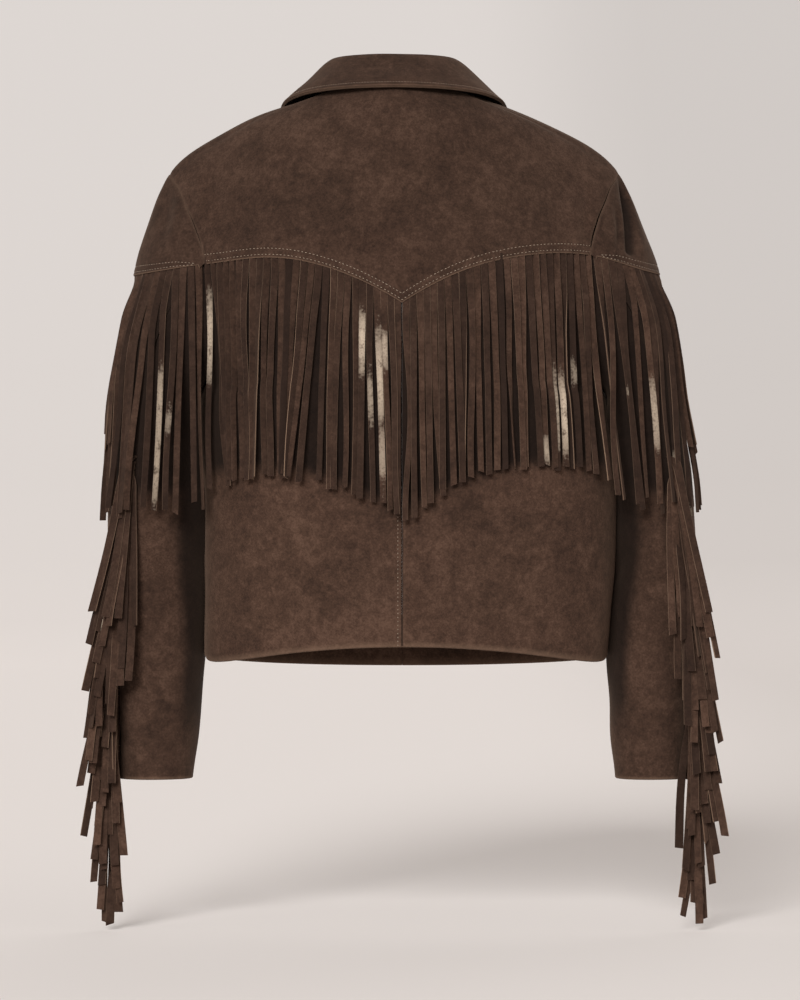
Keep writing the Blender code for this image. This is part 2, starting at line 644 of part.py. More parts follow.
def cap_fringe(side):
    """Hangs from the cap yoke's edge, over the outside of the sleeve."""
    tops, top_ways, columns = [], [], []
    for angle in CAP_ANGLES[1:-1]:
        line, ways = sleeve_grid([[(s, angle) for s in cap_lines(angle)]])
        start, front = line[0][1], 1 if angle > 0 else -1
        limits = (0.0, BACK_NOTCH) if front > 0 else (LAST_ROW, FRONT_NOTCH)
        turn = angle / CAP_ANGLES[0]
        follow = 1 - min(max((abs(turn) - FOLLOW_TURN) / (1 - FOLLOW_TURN), 0), 1)
        swing = CAP_FRINGE_FLARE[side] * max(turn, 0) ** CAP_FLARE_POWER
        out, depth, places = start.x, front * start.y, []
        for row in FRINGE_ROWS:
            z = start.z - CAP_FRINGE_LENGTH * row.share
            on_sleeve = sleeve(solved(lambda s: sleeve(s, angle).z, z, 0, CUFF), angle)
            out = max(out, start.x + (on_sleeve.x - start.x) * follow + swing * row.share)
            depth = max(depth, front * on_sleeve.y * follow, sleeve_depth(out, z, front))
            if out < body(UNDERARM_BACK, 1).x:
                depth = max(depth, front * body_depth(out, z, *limits))
            places.append(Vector((out, front * depth, z)))
        heading = math.radians(90 * turn)
        tops.append(line[0])
        top_ways.append(ways[0])
        columns.append((places, Vector((math.cos(heading), math.sin(heading), 0))))
    fringe_wall("cap_fringe", side, zip(*tops), zip(*top_ways), columns)


def seam_fringe(side):
    """Stands out from the sleeve's fringed seam and hangs on below the cuff."""
    heading = math.radians(SEAM_FRINGE_HEADING)
    outward = Vector((math.cos(heading), math.sin(heading), 0))
    across = Vector((-outward.y, outward.x, 0))
    faces = [], []
    for row in SEAM_FRINGE_ROWS:
        s = solved(lambda s: ring(s).z, row.z, UPPER_ARM, CUFF)
        angle = CAP_ANGLES[0] + ring(s).seam - ring(UPPER_ARM).seam
        root, way = ring_point(s, angle), sleeve_normal(s, angle)
        clear = 4 * SEAM_GAP + row.thick / 2 * MM * abs(way.dot(across))
        root = Vector((root.x, root.y, row.z * MM)) + Vector((way.x, way.y, 0)).normalized() * clear
        ends = [root - outward * (row.inward * MM), root + outward * (row.reach * MM)]
        for face, half in zip(faces, (-0.5, 0.5)):
            middle = [ends[0].lerp(ends[1], share) for share in (0, 0.35, 0.7, 1)]
            face.append([settled(p + across * (half * row.thick * MM), side) for p in middle])
    wall("sleeve_fringe" + ("_left" if side > 0 else "_right"), *keyed(*faces), DARK_BROWN)


# ---- The jacket ----------------------------------------------------------------------------------

for old in list(bpy.data.objects):
    bpy.data.objects.remove(old, do_unlink=True)

back_yoke()
collar_stand(*collar_fall())
for each in (1, -1):
    back_panel(each)
    front_panel(each)
    cap_yoke(each)
    sleeve_panels(each)
    back_fringe(each)
    cap_fringe(each)
    seam_fringe(each)
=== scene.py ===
"""The looks of a fringed suede jacket, filled out with no wearer, in the frame of its solids.

Metres, +Z up, the front faces -Y, the wearer's left is +X.  Every panel is made again as one
soft layer of suede on the same cut as its solid, then the stitching and each strip of fringe.
"""

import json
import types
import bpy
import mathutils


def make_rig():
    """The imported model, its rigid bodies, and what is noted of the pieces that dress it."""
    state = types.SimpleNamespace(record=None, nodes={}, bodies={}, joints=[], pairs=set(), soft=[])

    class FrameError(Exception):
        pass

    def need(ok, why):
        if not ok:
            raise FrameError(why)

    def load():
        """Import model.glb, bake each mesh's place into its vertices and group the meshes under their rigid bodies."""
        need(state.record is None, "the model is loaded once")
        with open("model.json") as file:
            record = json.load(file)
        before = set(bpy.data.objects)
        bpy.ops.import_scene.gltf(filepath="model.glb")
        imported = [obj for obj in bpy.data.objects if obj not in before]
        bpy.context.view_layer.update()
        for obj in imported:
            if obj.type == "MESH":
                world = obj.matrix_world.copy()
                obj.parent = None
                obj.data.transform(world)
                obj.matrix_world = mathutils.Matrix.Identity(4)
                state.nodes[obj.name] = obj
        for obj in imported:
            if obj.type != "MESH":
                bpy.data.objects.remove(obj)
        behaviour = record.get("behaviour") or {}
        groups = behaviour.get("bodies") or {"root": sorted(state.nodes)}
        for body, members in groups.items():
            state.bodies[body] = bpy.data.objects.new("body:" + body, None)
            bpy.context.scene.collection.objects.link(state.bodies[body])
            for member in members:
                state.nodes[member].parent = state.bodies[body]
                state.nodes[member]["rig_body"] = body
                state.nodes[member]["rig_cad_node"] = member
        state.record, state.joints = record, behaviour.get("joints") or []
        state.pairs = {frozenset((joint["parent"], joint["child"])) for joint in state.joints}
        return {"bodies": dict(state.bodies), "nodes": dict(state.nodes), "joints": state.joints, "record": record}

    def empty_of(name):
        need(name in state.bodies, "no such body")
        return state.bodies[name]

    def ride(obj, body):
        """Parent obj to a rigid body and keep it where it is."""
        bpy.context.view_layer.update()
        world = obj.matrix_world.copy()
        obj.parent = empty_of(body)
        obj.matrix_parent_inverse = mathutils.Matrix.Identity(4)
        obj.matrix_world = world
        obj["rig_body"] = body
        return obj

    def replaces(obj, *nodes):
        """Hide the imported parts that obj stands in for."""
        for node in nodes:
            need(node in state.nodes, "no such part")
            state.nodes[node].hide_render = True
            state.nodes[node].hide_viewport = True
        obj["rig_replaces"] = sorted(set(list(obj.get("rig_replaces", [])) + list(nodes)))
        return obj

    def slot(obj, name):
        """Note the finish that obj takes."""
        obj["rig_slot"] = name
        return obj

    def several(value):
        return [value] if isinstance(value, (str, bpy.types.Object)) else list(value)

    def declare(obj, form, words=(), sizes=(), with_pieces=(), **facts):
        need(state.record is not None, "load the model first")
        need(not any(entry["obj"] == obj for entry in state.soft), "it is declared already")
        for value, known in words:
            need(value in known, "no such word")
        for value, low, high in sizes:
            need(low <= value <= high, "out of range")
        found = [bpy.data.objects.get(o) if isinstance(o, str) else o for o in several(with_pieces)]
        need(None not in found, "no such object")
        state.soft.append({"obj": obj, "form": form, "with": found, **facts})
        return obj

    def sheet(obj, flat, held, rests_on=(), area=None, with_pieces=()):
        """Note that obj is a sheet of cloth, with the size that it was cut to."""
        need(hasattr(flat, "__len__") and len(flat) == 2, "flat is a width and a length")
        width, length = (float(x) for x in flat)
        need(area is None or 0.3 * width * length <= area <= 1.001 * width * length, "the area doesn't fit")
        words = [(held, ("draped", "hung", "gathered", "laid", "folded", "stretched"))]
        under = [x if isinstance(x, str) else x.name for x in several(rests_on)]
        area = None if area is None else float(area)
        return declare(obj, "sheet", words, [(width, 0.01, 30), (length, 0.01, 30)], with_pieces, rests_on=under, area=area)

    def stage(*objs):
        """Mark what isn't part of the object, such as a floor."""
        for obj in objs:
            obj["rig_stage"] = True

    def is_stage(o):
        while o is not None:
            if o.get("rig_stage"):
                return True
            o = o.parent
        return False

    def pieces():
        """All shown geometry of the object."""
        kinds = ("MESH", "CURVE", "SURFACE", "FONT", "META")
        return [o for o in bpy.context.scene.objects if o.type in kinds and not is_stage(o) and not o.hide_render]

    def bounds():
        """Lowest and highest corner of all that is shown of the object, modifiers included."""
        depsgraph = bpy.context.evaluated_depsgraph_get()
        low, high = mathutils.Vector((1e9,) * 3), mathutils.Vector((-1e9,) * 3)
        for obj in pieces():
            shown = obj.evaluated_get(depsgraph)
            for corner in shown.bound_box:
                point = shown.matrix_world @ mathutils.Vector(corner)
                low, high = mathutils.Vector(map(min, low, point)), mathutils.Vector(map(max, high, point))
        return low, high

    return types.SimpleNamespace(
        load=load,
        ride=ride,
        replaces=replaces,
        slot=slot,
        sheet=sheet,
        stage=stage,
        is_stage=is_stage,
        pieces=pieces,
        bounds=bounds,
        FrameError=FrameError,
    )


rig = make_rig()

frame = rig.load()

import json
import math
from collections import namedtuple

import bpy
import numpy as np
from mathutils import Vector
from mathutils.bvhtree import BVHTree

cad_low, cad_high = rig.bounds()


# ==== The back ==================================================================================
# Two halves of suede, sewn together down the centre back with one row of stitches beside the seam,
# and to the fronts at the sides.  Their hem is turned, glued, and rises a little in the middle.

MM = 0.001
SUEDE = 1.5 * MM                        # how thick it is

# The half jacket's cut is one surface.  Its rows run from the centre line (or the neckline) out to
# the side seam (or the armhole), up the back and down the front.
# x0 y0 z0, x1 y1 z1: a row's two ends in millimetres.  turn: how far it has turned at its outer
# end.  reach0 reach1: how long it keeps each end's direction.  lift0 lift1: its rise there.
BodyRow = namedtuple("BodyRow", "name x0 y0 z0 x1 y1 z1 turn reach0 reach1 lift0 lift1")
BODY_ROWS = (
    BodyRow("back hem", 0, 118, -539, 201.5, 0, -551, 90, 133, 78, 0, -15),
    BodyRow("back waist", 0, 124, -430, 205.5, 0, -430, 90, 136, 82, 0, 0),
    BodyRow("back ribs", 0, 129, -350, 206, 0, -350, 90, 136, 85, 0, 0),
    BodyRow("back underarm", 0, 131, -290, 203.5, 0, -297, 88, 134, 86, 0, 0),
    BodyRow("blade low", 0, 132, -265, 194, 42, -274, 62, 103, 68, 2, 2),
    BodyRow("blade", 0, 132, -236, 188, 65, -225, 48, 94, 60, 18, 3),
    BodyRow("back yoke edge", 0, 130.5, -203, 189, 71, -158, 41, 89, 57, 57, 2),
    BodyRow("yoke low", 0, 127, -145, 197, 59, -124, 37, 92, 58, 24, 8),
    BodyRow("yoke middle", 0, 118.5, -74, 207, 42, -101, 31, 88, 52, 4, 16),
    BodyRow("yoke high", 0, 104, -12, 213.5, 27, -86, 23, 78, 42, -6, 28),
    BodyRow("neck centre back", 0, 68, 22, 219.5, 13, -77, 13, 70, 32, -9, 36),
    BodyRow("neck back", 45, 50, 12, 222, 3, -71.5, 6, 60, 24, -18, 34),
    BodyRow("neck side", 78, 10, 6, 223, -5, -70, 2, 49, 22, -17, 32),
    BodyRow("shoulder seam", 80, -10, 3, 222.5, -14, -72, 0, 48, 24, -17, 30),
    BodyRow("front neck side", 75, -34, -10, 217, -30, -81, -2, 48, 32, -16, 26),
    BodyRow("front neck", 56, -60, -32, 207, -47, -99, -8, 52, 42, -14, 20),
    BodyRow("front neck low", 29, -77, -57, 195, -61, -127, -14, 60, 52, -8, 16),
    BodyRow("neck centre front", 1.5, -82, -72, 186, -70, -158, -22, 64, 58, -14, 18),
    BodyRow("chest high", 1.5, -101, -122, 184, -70, -195, -38, 84, 52, -10, 14),
    BodyRow("chest", 1.5, -114, -182, 186, -60, -233, -54, 96, 54, -6, 8),
    BodyRow("chest low", 1.5, -121, -238, 194, -38, -275, -66, 108, 64, -4, 2),
    BodyRow("front underarm", 1.5, -123, -290, 203.5, 0, -297, -88, 134, 80, 0, 0),
    BodyRow("front ribs", 1.5, -122, -350, 206, 0, -350, -90, 136, 80, 0, 0),
    BodyRow("front waist", 1.5, -118, -430, 205.5, 0, -430, -90, 136, 78, 0, 0),
    BodyRow("front hem", 1.5, -112, -564, 201.5, 0, -551, -90, 133, 74, 0, -6),
)
ROW = {row.name: float(number) for number, row in enumerate(BODY_ROWS)}
UNDERARM_BACK, UNDERARM_FRONT = ROW["back underarm"], ROW["front underarm"]
YOKE_ROW, NECK_ROW = ROW["back yoke edge"], ROW["neck centre back"]
SHOULDER_ROW, FRONT_NOTCH = ROW["shoulder seam"], ROW["neck centre front"]
HEM_ROW = ROW["front hem"]

# How far the jacket's middle, its sides and its sleeves' outsides hang sideways at height z.
Settle = namedtuple("Settle", "z middle sides outsides")
SETTLES = (
    Settle(-830, 0, -1, 0), Settle(-680, 0, -2, 0), Settle(-557, 0, -4, 0),
    Settle(-430, 0, -9, 0), Settle(-300, 0, -2, 4), Settle(-200, 0, 2.5, 5),
    Settle(-155, 2, 4.5, 6), Settle(-65, 7.5, 7.5, 8.5), Settle(50, 8.5, 8.5, 8.5),
)
SETTLE_X = (0, 200, 280)
YOKE_END_DROP = 4.5                     # the yoke's left end hangs lower by this, its right higher
YOKE_END_X, YOKE_END_Z, YOKE_END_WIDTH, YOKE_END_HEIGHT = 185, -160, 50, 70


def eased(places, values, at):
    """Smooth curve through values at rising places, with no overshoot between two of them."""
    places, values = np.asarray(places, float), np.asarray(values, float)
    at = np.clip(at, places[0], places[-1])
    widths = np.diff(places)
    steps = np.diff(values, axis=0) / widths.reshape(-1, *[1] * (values.ndim - 1))
    before, after = np.concatenate((steps[:1], steps)), np.concatenate((steps, steps[-1:]))
    both = before * after
    slopes = np.where(both > 0, 2 * both / np.where(both > 0, before + after, 1), 0)
    cell = np.clip(np.searchsorted(places, at, "right") - 1, 0, len(widths) - 1)

    def at_cell(sizes, step=0):
        if sizes.ndim == 1:
            return sizes[cell + step]
        return np.take_along_axis(sizes, (cell + step)[None], 0)[0]

    wide = widths[cell]
    t = (at - places[cell]) / wide
    return (
        (1 + 2 * t) * (1 - t) ** 2 * at_cell(values) + t * (1 - t) ** 2 * wide * at_cell(slopes)
        + t * t * (3 - 2 * t) * at_cell(values, 1) - t * t * (1 - t) * wide * at_cell(slopes, 1)
    )


def table_row(table, at, places=None):
    """A table's sizes at places between its rows, eased column by column."""
    places = range(len(table)) if places is None else places
    sizes = {}
    for size in table[0]._fields:
        if size != "name":
            sizes[size] = eased(places, [getattr(row, size) for row in table], at)
    return table[0]._replace(**sizes)


def body(v, u):
    """Points of the left half's cut: v counts rows from the back hem, u runs outwards."""
    v, u = np.broadcast_arrays(np.asarray(v, float), np.asarray(u, float))
    row = table_row(BODY_ROWS, v)
    turn = np.radians(row.turn)
    start = np.stack((row.x0, row.y0, row.z0), -1)
    leave = start + np.stack((row.reach0, 0 * v, row.lift0), -1)
    end = np.stack((row.x1, row.y1, row.z1), -1)
    arrive = end + np.stack((-row.reach1 * np.cos(turn), row.reach1 * np.sin(turn), row.lift1), -1)
    u = u[..., None]
    w = 1 - u
    return (start * w ** 3 + leave * (3 * u * w * w) + arrive * (3 * u * u * w) + end * u ** 3) * MM


def unit(vectors):
    return vectors / np.linalg.norm(vectors, axis=-1, keepdims=True)


def body_out(v, u, step=0.004):
    """Unit directions out of the body's cut."""
    v, u = np.broadcast_arrays(np.asarray(v, float), np.asarray(u, float))
    up = body(np.minimum(v + step, HEM_ROW), u) - body(np.maximum(v - step, 0), u)
    aside = body(v, np.minimum(u + step, 1)) - body(v, np.maximum(u - step, 0))
    return unit(np.cross(up, aside))


def settled(points, side):
    """Points of the left half, put on a side (left 1, right -1) and moved as the jacket hangs."""
    x, y, z = points[..., 0] * side, points[..., 1], points[..., 2]
    moves = table_row(SETTLES, z / MM, [row.z for row in SETTLES])
    share = np.abs(x) / MM
    shift = eased(SETTLE_X, (moves.middle, moves.sides, moves.outsides), share)
    out = (share - YOKE_END_X) / YOKE_END_WIDTH
    up = (z / MM - YOKE_END_Z) / YOKE_END_HEIGHT
    drop = YOKE_END_DROP * side * np.exp(-out ** 2 - up ** 2)
    return np.stack((x + shift * MM, y, z - drop * MM), -1)


def smooth(share):
    """From 0 to 1, with no corner at either end."""
    share = np.clip(share, 0, 1)
    return share * share * (3 - 2 * share)


def bell(distance, wide):
    """1 at no distance, almost 0 from twice the width on."""
    return np.exp(-(distance / wide) ** 2)


def facing(points):
    """Unit directions square to a grid of points, along rows turned towards columns."""
    return unit(np.cross(np.gradient(points, axis=0), np.gradient(points, axis=1)))


def lengths_along(points, axis):
    """Length from the grid's first row (axis 0) or column (axis 1) to each point."""
    steps = np.linalg.norm(np.diff(points, axis=axis), axis=-1)
    zero = np.zeros_like(np.take(steps, [0], axis))
    return np.concatenate((zero, np.cumsum(steps, axis)), axis)


# x z: a fold's ends in millimetres, as the jacket hangs.  bow: how far its middle bends aside.
# wide: half its width.  deep: how far it sinks in (or stands out, below zero).
Fold = namedtuple("Fold", "x0 z0 x1 z1 bow wide deep")


def folded(across, height, folds):
    """How far soft folds sink in at places across and up the cloth, in metres."""
    sunk = np.zeros_like(height)
    for fold in folds:
        run = np.array((fold.x1 - fold.x0, fold.z1 - fold.z0), float)
        length = np.hypot(*run)
        right, rise = across / MM - fold.x0, height / MM - fold.z0
        along = (right * run[0] + rise * run[1]) / length ** 2
        aside = (right * run[1] - rise * run[0]) / length - fold.bow * 4 * along * (1 - along)
        fade = np.exp(-np.abs(2 * along - 1) ** 4 * 1.6)
        sunk += fold.deep * MM * fade * bell(aside, fold.wide)
    return sunk


def uneven(points, seed, size, deep, waves=14):
    """Slow unevenness of soft suede: waves of about one size, in many directions."""
    draw = np.random.default_rng(seed)
    total = np.zeros(points.shape[:-1])
    for _ in range(waves):
        way = unit(draw.normal(size=3)) * draw.uniform(0.7, 1.6) * 2 * math.pi / size
        total += np.sin(points @ way + draw.uniform(0, 2 * math.pi))
    return total * deep / math.sqrt(waves / 2)


SEAM_ROLL, SEAM_SOFT = 1.3 * MM, 2.6 * MM   # how far an edge rolls in at its seam, over what width
SEAM_WORN = 0.13, 1.8 * MM              # how light a seam is rubbed, over what width


def rolled(distance):
    return SEAM_ROLL * bell(distance, SEAM_SOFT)


def worn_near(distance, strong, wide):
    """How light the nap is rubbed near an edge."""
    return strong * bell(distance, wide)


HEM_BEND = SUEDE + 0.15 * MM            # radius of a turned edge
HEM_ROWS, BEND_ROWS = 5, 7              # rows of its turned part, and round its bend
HEM_WORN = 0.25                         # how light the bend is rubbed


def hemmed(points, away, worn, deep):
    """A grid with its first row turned: from its raw end up inside, round the bend, to the face."""
    inside = points[HEM_ROWS:0:-1] - away[HEM_ROWS:0:-1] * (2 * HEM_BEND)
    up, edge = unit(points[1] - points[0]), points[0]
    bend = np.stack([
        edge + up * HEM_BEND * (1 - math.sin(turn)) - away[0] * HEM_BEND * (1 - math.cos(turn))
        for turn in np.radians(np.linspace(180, 0, BEND_ROWS))])
    bent = np.maximum(worn[:1], HEM_WORN).repeat(BEND_ROWS, 0)
    worn = np.concatenate((worn[HEM_ROWS:0:-1] * 0, bent, worn[1:]))
    deep = np.concatenate((0 * deep[:1].repeat(HEM_ROWS + BEND_ROWS - 1, 0), deep))
    return np.concatenate((inside, bend, points[1:])), worn, deep


def looks_along(points, away):
    """Whether a grid's faces, rows turned towards columns, look the way of away."""
    middles = [grid[tuple(n // 2 for n in grid.shape[:2])] for grid in (facing(points), away)]
    return middles[0] @ middles[1] > 0


def mark(mesh, domain="POINT", **finishes):
    """Write finishes into a mesh, with a value for each of its points or faces."""
    for finish, values in finishes.items():
        mesh.attributes.new(finish, "FLOAT", domain).data.foreach_set("value", np.ravel(values))


def sheet_mesh(name, points, away, worn, deep=None):
    """A grid of points as one face of cloth that looks the way of away, with its wear and its painted shade (deep)
    marked on it.
    """
    deep = 0 * worn if deep is None else deep
    if looks_along(points, away):
        points, worn, deep = points[:, ::-1], worn[:, ::-1], deep[:, ::-1]
    rows, columns = points.shape[:2]
    bpy.ops.object.select_all(action="DESELECT")
    bpy.ops.mesh.primitive_grid_add(
        x_subdivisions=columns - 1, y_subdivisions=rows - 1, calc_uvs=False)
    piece = bpy.context.object
    piece.name = piece.data.name = name
    piece.data.vertices.foreach_set("co", points.ravel())
    mark(piece.data, wear=worn, deep=deep)
    return piece


def walled(piece, thick=SUEDE):
    """A face of cloth given its thickness, behind the face."""
    wall = piece.modifiers.new("wall", "SOLIDIFY")
    wall.thickness, wall.offset, wall.use_even_offset = thick, -1, True
    bpy.ops.object.modifier_apply(modifier="wall")
    bpy.ops.object.shade_smooth_by_angle(angle=math.radians(50))
    return piece


def flat_cut(width, length, area):
    """A flat piece's size and area, as a sheet call takes them."""
    area = min(area, width * length)
    return {"flat": (round(width, 3), round(length, 3)), "area": round(area, 4)}


def cut_size(points):
    """Flat width, length and area of a cloth, measured along a grid of its points."""
    width, length = (lengths_along(points, axis).max() for axis in (1, 0))
    sides = np.diff(points, axis=1)[:-1], np.diff(points, axis=0)[:, :-1]
    return flat_cut(width, length, np.linalg.norm(np.cross(*sides), axis=-1).sum())


# Suede is matt, with cloudy patches where the nap lies another way and a fine grain, lighter
# where it is rubbed, and with painted shade, near black, where fringe, the body, a crease or the centre-back seam
# shades it.
DARK, BROWN, LIGHT = (0.027, 0.0145, 0.0097), (0.049, 0.0262, 0.0172), (0.080, 0.0445, 0.0300)
RUBBED, PAINTED_SHADE_COLOUR = (0.19, 0.122, 0.082), (0.004, 0.0022, 0.0016)
PATCH = 6, 1.6                          # detail and distortion of its patches
GRAIN = (40, 5, 1.0), (170, 4, 0.3), (520, 3, 0)        # scale, detail and distortion of its grain
NAP_WEIGHTS = 0.24, 0.26, 0.24, 0.26    # how much the patches and each grain count
NAP_STOPS = 0.39, 0.5, 0.61             # where their sum is dark, brown and light


def new_finish(name):
    """A new material, with its nodes, its links and its shader."""
    material = bpy.data.materials.new(name)
    material.use_nodes = True
    nodes, links = material.node_tree.nodes, material.node_tree.links
    return material, nodes, links, nodes["Principled BSDF"]


def noise(nodes, links, place, scale, detail=2, distortion=0):
    """Noise at a place, given as a socket."""
    texture = nodes.new("ShaderNodeTexNoise")
    for socket, value in (("Scale", scale), ("Detail", detail), ("Distortion", distortion)):
        texture.inputs[socket].default_value = value
    links.new(place, texture.inputs["Vector"])
    return texture.outputs["Fac"]


def mixed(nodes, links, factor, first, second):
    """A colour between two, each given as a socket or as a colour."""
    mix = nodes.new("ShaderNodeMix")
    mix.data_type = "RGBA"
    links.new(factor, mix.inputs[0])
    for socket, colour in ((mix.inputs[6], first), (mix.inputs[7], second)):
        if isinstance(colour, tuple):
            socket.default_value = (*colour, 1)
        else:
            links.new(colour, socket)
    return mix.outputs[2]


def attribute(nodes, name):
    reader = nodes.new("ShaderNodeAttribute")
    reader.attribute_name = name
    return reader.outputs["Fac"]


def summed(nodes, links, *parts):
    """The sum of some values, each times its own weight."""
    total = None
    for value, weight in parts:
        step = nodes.new("ShaderNodeMath")
        step.operation = "MULTIPLY_ADD"
        links.new(value, step.inputs[0])
        step.inputs[1].default_value, step.inputs[2].default_value = weight, 0
        if total is not None:
            links.new(total, step.inputs[2])
        total = step.outputs["Value"]
    return total


def suede(name, seed, tone=1.0, patches=7.0):
    """Suede of one hide: seed moves its patches, patches sets their size, tone scales its colour and paints in the
    shade a piece stands in.
    """
    material, nodes, links, shader = new_finish(name)
    shader.inputs["Roughness"].default_value = 0.95
    shader.inputs["Specular IOR Level"].default_value = 0.12
    shader.inputs["Sheen Weight"].default_value = 0.10
    shader.inputs["Sheen Roughness"].default_value = 0.5
    shader.inputs["Sheen Tint"].default_value = (0.60, 0.40, 0.28, 1)
    place, move = nodes.new("ShaderNodeTexCoord"), nodes.new("ShaderNodeMapping")
    move.inputs["Location"].default_value = (seed * 1.7, seed * 0.9, seed * 2.3)
    links.new(place.outputs["Object"], move.inputs["Vector"])
    noises = [
        noise(nodes, links, move.outputs["Vector"], *sizes)
        for sizes in ((patches, *PATCH), *GRAIN)]
    ramp = nodes.new("ShaderNodeValToRGB")
    links.new(summed(nodes, links, *zip(noises, NAP_WEIGHTS)), ramp.inputs["Fac"])
    stops = ramp.color_ramp.elements
    stops.new(0.5)
    for stop, position, colour in zip(stops, NAP_STOPS, (DARK, BROWN, LIGHT)):
        stop.position = position
        stop.color = (*[part * tone for part in colour], 1)
    colour = mixed(nodes, links, attribute(nodes, "wear"), ramp.outputs["Color"], RUBBED)
    # Painted shade: the deep attribute mixes in near black under fringe, beside the body, in creases and in the
    # centre-back seam.
    colour = mixed(nodes, links, attribute(nodes, "deep"), colour, PAINTED_SHADE_COLOUR)
    links.new(colour, shader.inputs["Base Color"])
    bump = nodes.new("ShaderNodeBump")
    bump.inputs["Strength"].default_value = 0.5
    bump.inputs["Distance"].default_value = 0.4 * MM
    links.new(summed(nodes, links, (noises[2], 1), (noises[3], 1)), bump.inputs["Height"])
    links.new(bump.outputs["Normal"], shader.inputs["Normal"])
    return material


# Thread: waxed tan, a little uneven in colour along its twist.
THREAD_TAN, THREAD_TWIST, THREAD_DULL = (0.31, 0.235, 0.17), 900, 0.62


def thread(name, colour):
    material, nodes, links, shader = new_finish(name)
    shader.inputs["Roughness"].default_value = 0.6
    twist = noise(nodes, links, nodes.new("ShaderNodeTexCoord").outputs["Object"], THREAD_TWIST)
    dull = tuple(part * THREAD_DULL for part in colour)
    links.new(mixed(nodes, links, twist, dull, colour), shader.inputs["Base Color"])
    return material


tan_thread = thread("tan thread", THREAD_TAN)
bpy.ops.object.select_all(action="DESELECT")
bpy.ops.mesh.primitive_uv_sphere_add(segments=6, ring_count=5, radius=0.5)
capsule = bpy.context.object
STITCH_SHAPE = np.array([vertex.co[:] for vertex in capsule.data.vertices])[:, [2, 0, 1]]
STITCH_FACES = sorted(tuple(face.vertices) for face in capsule.data.polygons)
bpy.data.objects.remove(capsule)
STITCH_WIDE, STITCH_HIGH = 0.62 * MM, 0.5 * MM
STITCH_PITCH = 3.9 * MM


def spaced(points, pitch):
    """Lengths along a line of points: to each of them, and to places about a pitch apart."""
    run = lengths_along(points[:, None], 0)[:, 0]
    count = int(run[-1] / pitch)
    return run, (np.arange(count) + 0.5) * run[-1] / count


def on_line(values, run, places):
    """What a line's points hold, at places along it."""
    return np.stack([np.interp(places, run, values[:, k]) for k in range(3)], 1)


def placed(name, data):
    """An object of this data, in the scene."""
    piece = bpy.data.objects.new(name, data)
    bpy.context.scene.collection.objects.link(piece)
    return piece


def stitched(name, lines, pitch, seed, length=0.54):
    """Stitches along lines on the cloth, as one mesh, each with a share of the pitch as its length.

    lines: pairs of a line's points and their directions out.
    """
    draw = np.random.default_rng(seed)
    corners = []
    for points, away in lines:
        run, middles = spaced(points, pitch)
        middles += draw.normal(0, 0.03 * pitch, len(middles))
        after, before = (on_line(points, run, middles + step) for step in (pitch / 2, -pitch / 2))
        along, up = unit(after - before), unit(on_line(away, run, middles))
        across = np.cross(up, along)
        size = pitch * length * draw.uniform(0.9, 1.08, len(middles))
        shape = STITCH_SHAPE[None]
        corners.append(
            on_line(points, run, middles)[:, None]
            + along[:, None] * shape[..., :1] * size[:, None, None]
            + across[:, None] * shape[..., 1:2] * STITCH_WIDE
            + up[:, None] * shape[..., 2:] * STITCH_HIGH)
    corners = np.concatenate(corners)
    shape_faces = [
        tuple(corner + number * len(STITCH_SHAPE) for corner in face)
        for number in range(len(corners)) for face in STITCH_FACES]
    mesh = bpy.data.meshes.new(name)
    mesh.from_pydata(corners.reshape(-1, 3).tolist(), [], shape_faces)
    mesh.shade_smooth()
    mesh.materials.append(tan_thread)
    return placed(name, mesh)


BACK_FOLDS = (
    Fold(176, -592, 168, -520, 3, 7, -0.8), Fold(-198, -455, -208, -540, -6, 7, -1.2),
    Fold(100, -600, 122, -430, 6, 16, 1.4), Fold(-120, -580, -140, -440, 5, 18, 1.6),
    Fold(50, -560, 40, -430, 4, 14, 0.9), Fold(-60, -560, -45, -430, -4, 14, -0.9),
)
SEAM_HALF = 0.00004                     # half a closed seam's gap, as a share of a row
SEAM_LINE, SEAM_ROW = 0.004, 0.0105     # its painted shade line ends and its stitches lie there, likewise
# Painted shade in the closed centre-back seam's groove: how dark, and how wide.
SEAM_GROOVE_SHADE, SEAM_GROOVE_SHADE_WIDE = 0.9, 0.5 * MM
UNDER_FRINGE, UNDER_SOFT = 213 * MM, 16 * MM    # how far below the yoke's edge the back gets painted shade under its fringe, and over what it fades
UNDER_FRINGE_SHADE = 0.88
PANEL_TOP = YOKE_ROW + 0.15
BACK_ROWS, BACK_COLUMNS = 110, 62
SIDES = (("left", 1), ("right", -1))
faces = {}                              # each panel's outer face, for what lies on it


def painted_shade_under_fringe(points, side):
    """Painted shade on the back under its fringe: how dark it is made."""
    edge = settled(body(YOKE_ROW, np.linspace(SEAM_HALF, 1 - SEAM_HALF, 64)), side)
    order = np.argsort(edge[:, 0])
    under = np.interp(points[..., 0], edge[order, 0], edge[order, 2]) - points[..., 2]
    return UNDER_FRINGE_SHADE * smooth((UNDER_FRINGE - under) / UNDER_SOFT)


def body_panel(name, side, v, u, folds, seed, fringed):
    """A panel of the body's cut: seams at both ends of its rows, its first row a turned hem."""
    points, away = body(v[:, None], u), body_out(v[:, None], u) * (side, 1, 1)
    run = lengths_along(points, 1)
    edge = np.minimum(run, run[:, -1:] - run)
    points = settled(points, side)
    sunk = folded(points[..., 0], points[..., 2], folds) + rolled(edge)
    sunk += uneven(points, seed, size=0.13, deep=0.9 * MM)
    points = points - away * sunk[..., None]
    faces[name] = points, away
    deep = 0 * edge
    if fringed:
        # Painted shade under the fringe, and in the groove of the centre-back seam.
        deep = np.maximum(painted_shade_under_fringe(points, side), SEAM_GROOVE_SHADE * (run < SEAM_GROOVE_SHADE_WIDE))
    whole, worn, deep = hemmed(points, away, worn_near(edge, *SEAM_WORN), deep)
    return walled(sheet_mesh(name, whole, away, worn, deep))


